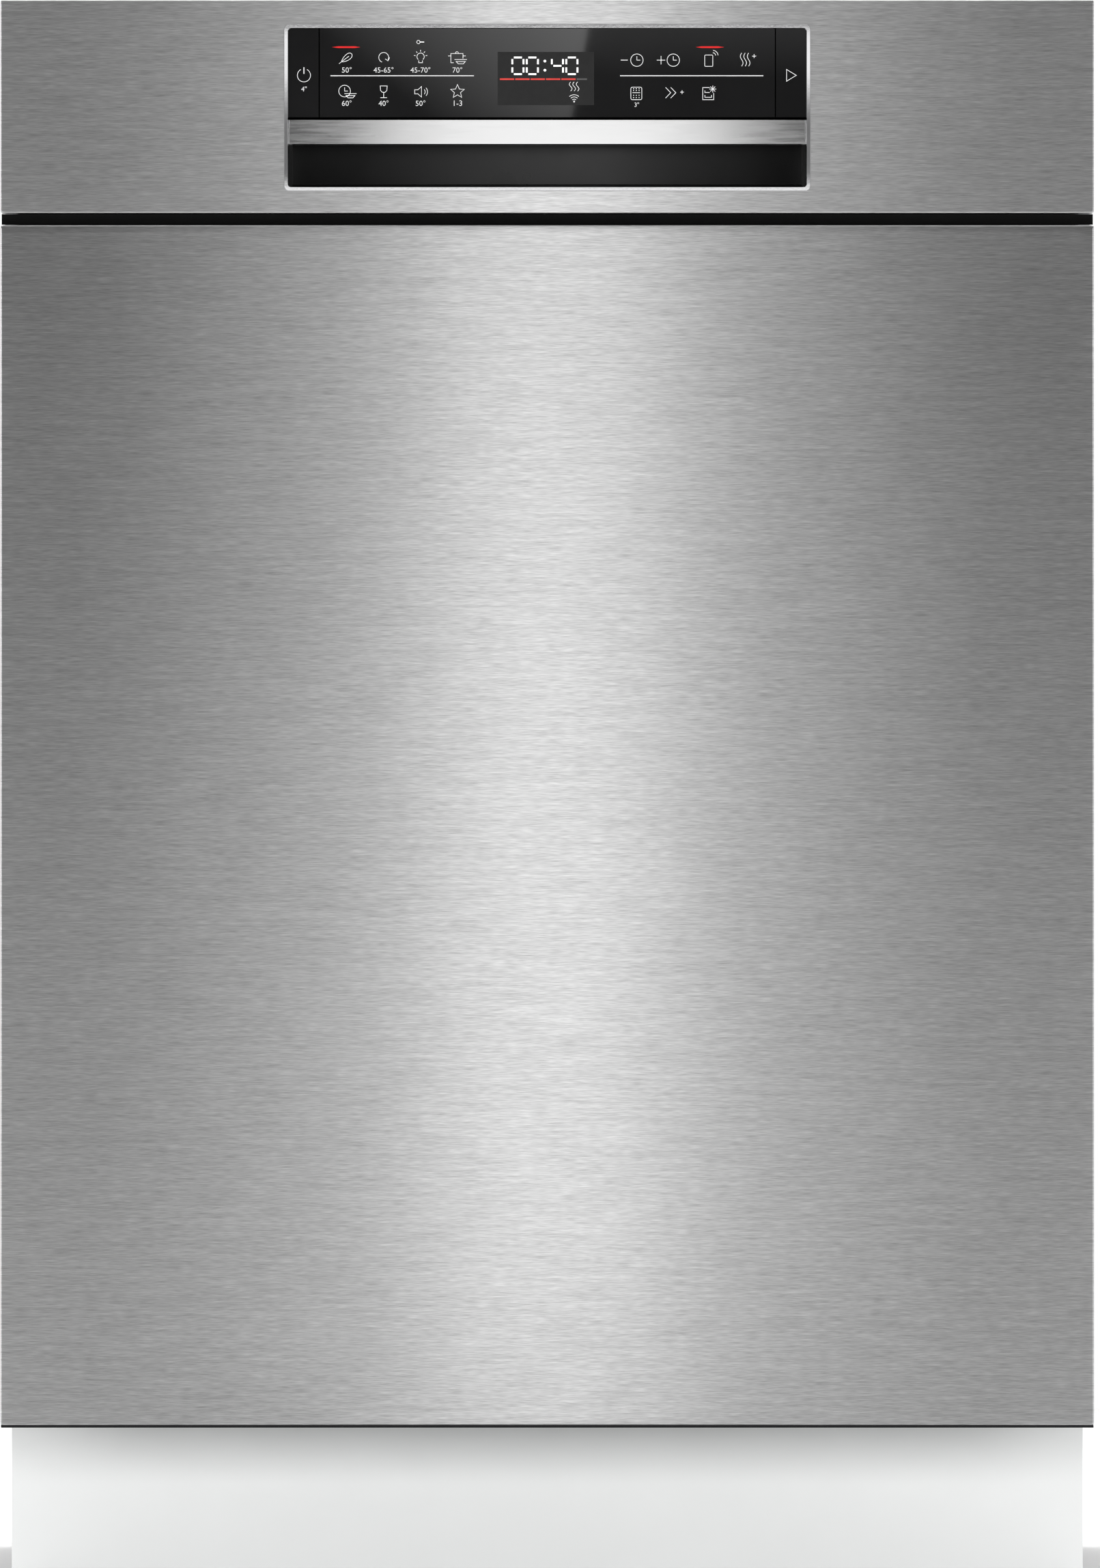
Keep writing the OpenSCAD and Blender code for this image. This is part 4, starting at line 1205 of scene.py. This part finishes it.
def screws():
    """Pan-head screws with a socket, on the rear and the sides."""
    rear = corners("rear_panel")[1].y
    face = corners("side_panel_right")[1].x
    head = ((-0.5, 4.4), (0.9, 4.5), (1.5, 3.9), (2.0, 2.8), (2.05, 1.9), (0.9, 1.8), (0.8, 0.3))
    flat = ((-0.3, 4.0), (0.3, 4.0), (0.65, 3.2), (0.75, 1.7), (0.3, 1.6), (0.2, 0.3))
    parts = [lathe(head, (x, rear, z), "Y", 24) for x in (-280, 0, 280) for z in (126, 480, 845)]
    for side in (-1, 1):
        profile = [(side * along, radius) for along, radius in flat]
        parts += [lathe(profile, (side * face, y, 132), "X", 24) for y in (-120, 60, 240)]
    make_mesh("screw_heads", joined(*parts), "cabinet", "zinc_hardware", 35, replaces=("body_screws",))


def water_fittings():
    """Threaded inlet and barbed drain outlet, both with open bores."""
    low, high = corners("inlet_valve")
    start = low.y + 33.5
    profile = [(start, 13.0), (start + 0.5, 13.2)]
    y = start + 0.8
    while y < high.y - 1.4:
        profile += [(y, 12.2), (y + 0.6, 13.15)]
        y += 1.2
    profile += [(high.y - 0.4, 12.4), (high.y, 11.8), (high.y, 9.6), (high.y - 7, 9.3), (high.y - 7.2, 0.4)]
    thread = lathe(profile, (-230, 0, 70), "Y", 36)
    body = boxes([((low.x, low.y, low.z), (high.x, start + 0.2, high.z)),
                  ((low.x + 4, low.y - 3, low.z + 8), (high.x - 4, low.y + 1, high.z - 8))])
    make_mesh("inlet_fitting", joined(thread, body), "cabinet", "white_plastic", 30,
              replaces=("inlet_valve",))
    low, high = corners("drain_spigot")
    start = low.y + 33.5
    profile = [(low.y, 15.8), (start - 1, 16), (start, 15.6), (start, 8.4)]
    for k in range(3):
        barb = start + 1.2 + 3.0 * k
        profile += [(barb, 9.9), (barb + 2.2, 8.6)]
    profile += [(high.y, 8.4), (high.y, 6.6), (high.y - 9, 6.4), (high.y - 9.2, 0.4)]
    make_mesh("drain_fitting", lathe(profile, (230, 0, 70), "Y", 36), "cabinet", "dark_plastic", 30,
              replaces=("drain_spigot",))


def threaded_feet():
    """Levelling feet: a ribbed pad under a threaded stud."""
    for node, body in (("foot_front_left", "front_left_foot"), ("foot_front_right", "front_right_foot"),
                       ("foot_rear", "rear_foot")):
        low, high = corners(node)
        x, y = (low.x + high.x) / 2, (low.y + high.y) / 2
        profile = [(0, 18), (0.4, 19.6), (1.5, 20.8), (5, 21), (7.5, 20), (8.6, 15), (9, 7.5), (13, 7.2),
                   (13.4, 4.6)]
        z = 14.0
        while z < high.z - 2:
            profile += [(z, 4.95), (z + 0.8, 4.2)]
            z += 1.6
        profile += [(high.z, 4.0)]
        make_mesh(node + "_stud", lathe(profile, (x, y, 0), "Z", 28), body, "black_plastic", 35,
                  replaces=(node,))


def coil_springs():
    """The door's counterbalance springs, close-wound with hooks at the ends."""
    low, high = corners("door_springs")
    turns, radius, steps, middle_z = 34, 8.5, 12, 70
    along = spread_out(low.y + 4, high.y - 4, turns * steps + 1)
    round_points = circle(steps) * (turns + 1)
    paths = [[(x + radius * u, y, middle_z + radius * v) for y, (u, v) in zip(along, round_points)]
             for x in (-268, 268)]
    make_wires("counter_springs", paths, 1.4, "cabinet", "spring_steel", resolution=1,
               replaces=("door_springs",))


def tub_ribs():
    """Ribs pressed inward on the tub's sides and back, which stiffen it and guide the water down."""
    side, rear = 274.8, 261.0
    ribs = [((x * side, -170, z), (x * side, 205, z), 14, 2.2, (-x, 0, 0))
            for x in (-1, 1) for z in (300, 440, 690)]
    ribs += [((x, rear, 260), (x, rear, 720), 14, 2.4, (0, -1, 0)) for x in (-200, -100, 100, 200)]
    rib_sheet("tub_ribs", ribs, "stainless")


sheet_beads()
screws()
water_fittings()
threaded_feet()
coil_springs()
tub_ribs()

EDGE_ROUNDING = {
    "plinth_panel": 1.5, "worktop_brackets": 0.4, "dispenser_lid": 0.8, "rinse_aid_cap": 0.8, "salt_cap": 1.0,
    "filter_cylinder": 0.8, "feed_riser": 2.0, "mains_socket": 0.6, "door_latch": 0.8, "heat_exchanger": 3.0,
    "softener": 3.0, "circulation_pump": 2.0, "drain_pump": 1.5, "insulation_mats": 3.0, "hinge_arms": 0.8,
    "latch_striker": 0.3, "rack_rails": 0.6, "base_tray": 0.6,
}
for node, width in EDGE_ROUNDING.items():
    bevel(nodes[node], width, 2, 40)


# ---- camera, floor and light ----

VIEW_HEIGHT = 857.1
VIEW_X, VIEW_Z = 1.5, 436.4
LENS, SENSOR = 500.0, 36.0
distance = LENS * VIEW_HEIGHT / SENSOR

camera = bpy.data.objects.new("camera", bpy.data.cameras.new("camera"))
camera.data.lens = LENS
camera.data.sensor_width = SENSOR
camera.data.clip_end = 100
camera.location = Vector((VIEW_X, cad_low.y / MM - distance, VIEW_Z)) * MM
camera.rotation_euler = (math.pi / 2, 0, 0)
bpy.context.scene.collection.objects.link(camera)
bpy.context.scene.camera = camera

bpy.context.scene.view_settings.view_transform = "Standard"


def world():
    """A white backdrop for the camera, and for reflections a surround that is dim in front."""
    made = bpy.data.worlds.new("studio")
    bpy.context.scene.world = made
    made.use_nodes = True
    made.node_tree.nodes.clear()
    sky = Nodes(made.node_tree)
    white = (1, 1, 1, 1)
    axes = sky.add("SeparateXYZ", {0: sky.add("TexCoord").outputs["Generated"]}).outputs
    behind = sky.spread(axes["Y"], 0.035, 0.75, -0.6, -0.05)
    above = sky.spread(axes["Z"], 0.035, 0.55, 0.5, 0.85)
    level = sky.add("Math", {0: behind, 1: above}, operation="MAXIMUM").outputs[0]
    around = sky.add("Background", {"Color": white, "Strength": level}).outputs[0]
    seen = sky.add("Background", {"Color": white}).outputs[0]
    camera_ray = sky.add("LightPath").outputs["Is Camera Ray"]
    sky.add("OutputWorld", {"Surface": sky.add("MixShader", {0: camera_ray, 1: around, 2: seen}).outputs[0]})


def softbox(name, place, target, size, radiance):
    """A rectangular light, places and sizes in metres, seen in reflections only."""
    data = bpy.data.lights.new(name, "AREA")
    data.shape = "RECTANGLE"
    data.size, data.size_y = size
    data.energy = radiance * math.pi * size[0] * size[1]
    lamp = bpy.data.objects.new(name, data)
    lamp.location = place
    lamp.rotation_euler = (Vector(target) - Vector(place)).to_track_quat("-Z", "Y").to_euler()
    lamp.visible_camera = False
    bpy.context.scene.collection.objects.link(lamp)
    return lamp


def light_only(lamp, lit):
    """Makes a light fall on the named pieces only."""
    receivers = bpy.data.collections.new(lamp.name + "_lights")
    for piece in lit:
        receivers.objects.link(bpy.data.objects[piece])
    lamp.light_linking.receiver_collection = receivers
    return lamp


def front_card(name, x, width, low, high, radiance, y=-1.25, lit=("door_skin", "fascia_skin")):
    """A light square-on to the door that falls on the named pieces only, as a flagged card would."""
    middle = (low + high) / 2
    return light_only(softbox(name, (x, y, middle), (x, 0, middle), (width, high - low), radiance), lit)


def place_on_card(lamp):
    """The nodes of a light, its coordinates from 0 to 1 across and up, and its emission sockets."""
    lamp.data.use_nodes = True
    card = Nodes(lamp.data.node_tree)
    where = card.add("NewGeometry").outputs["Parametric"]
    return card, card.add("SeparateXYZ", {0: where}).outputs, card.tree.nodes["Emission"].inputs


def graded(lamp, offset, across, up):
    """Makes a card brighter towards one corner: its level is offset + across * x + up * y, never below 0."""
    card, place, emission = place_on_card(lamp)
    level = offset
    for socket, slope in ((place["X"], across), (place["Y"], up)):
        level = card.add("Math", {0: socket, 1: slope, 2: level}, operation="MULTIPLY_ADD").outputs[0]
    card.link(card.add("Math", {0: level, 1: 0.0}, operation="MAXIMUM").outputs[0], emission["Strength"])


def banded(lamp, stops):
    """Gives a card levels that change with height: stops hold (height from 0 to 1, level)."""
    card, place, emission = place_on_card(lamp)
    ramp = card.add("ValToRGB", {"Fac": place["Y"]})
    stripes = ramp.color_ramp.elements
    while len(stripes) < len(stops):
        stripes.new(0.5)
    for stripe, (height, level) in zip(stripes, stops):
        stripe.position = height
        stripe.color = (level, level, level, 1)
    card.link(ramp.outputs["Color"], emission["Color"])


def floor():
    """A pale floor with a light of its own overhead."""
    mesh = bpy.data.meshes.new("floor")
    reach, depth = 3.7, 3.0
    outline = [(-reach, -depth, 0), (reach, -depth, 0), (reach, depth, 0), (-reach, depth, 0)]
    mesh.from_pydata(outline, [], [(0, 1, 2, 3)])
    ground = bpy.data.objects.new("floor", mesh)
    bpy.context.scene.collection.objects.link(ground)
    paint = Paint("floor_paint", (0.72, 0.72, 0.72), 0.7)
    paint.tint(paint.noise(3, 2), 0.99, 1.01)
    mesh.materials.append(paint.mat)
    light_only(softbox("floor_wash", (0, 1.6, 2.4), (0, 1.6, 0), (6.0, 3.0), 2.0), ("floor",))


world()
front_card("centre_strip", 0, 0.13, 0.0, 1.3, 0.98)
front_card("shoulder", 0, 0.44, 0.0, 1.3, 0.22, -1.27)
front_card("low_fill", 0, 1.6, 0.0, 0.62, 0.05, -1.29)
front_card("grip_card", 0.005, 0.206, 0.55, 1.05, 1.05, -0.85, ("grip_strip",))
front_card("cup_card", 0.002, 0.085, 0.5, 1.1, 2.1, -0.85, ("recess_cup",))
front_card("plinth_card", 0, 2.6, 0.0, 0.42, 3.6, -1.2, ("plinth_panel",))
front_card("fascia_card", 0, 1.4, 0.2, 1.4, 0.09, -1.3, ("fascia_skin",))
GLASS_PIECES = ("control_glass", "power_button", "start_button")
glass_card = front_card("glass_card", -0.082, 0.20, 0.65, 1.05, 1.0, -0.9, GLASS_PIECES[:2])
glass_card.rotation_euler.rotate_axis("Z", math.radians(-10.4))
graded(glass_card, -5.67, 2.55, 9.64)
graded(front_card("glow_card", 0, 0.36, 0.65, 1.05, 1.0, -0.9, GLASS_PIECES), -2.71, 0.0, 5.6)
banded(front_card("trim_card", 0, 0.34, 0.72, 0.90, 1.05, -0.45, ("bezel_rim",)),
       ((0.20, 1.0), (0.262, 1.0), (0.285, 0.14), (0.47, 0.16), (0.54, 0.45), (0.61, 1.0), (0.745, 1.0),
        (0.755, 0.22)))
for side in (-1, 1):
    front_card("edge_strip", side * 0.40, 0.12, 0.0, 1.1, 0.12, -1.26)
    softbox("key_box", (side * 2.75, -3.8, 0.58), (0, -0.2, 0.1), (1.6, 1.1), 3.0)
    softbox("back_box", (side * 1.9, 2.0, 1.3), (0, 0, 0.4), (1.4, 1.6), 1.4)
softbox("overhead", (0, 0.3, 2.6), (0, 0, 0.4), (2.4, 2.0), 1.0)
floor()
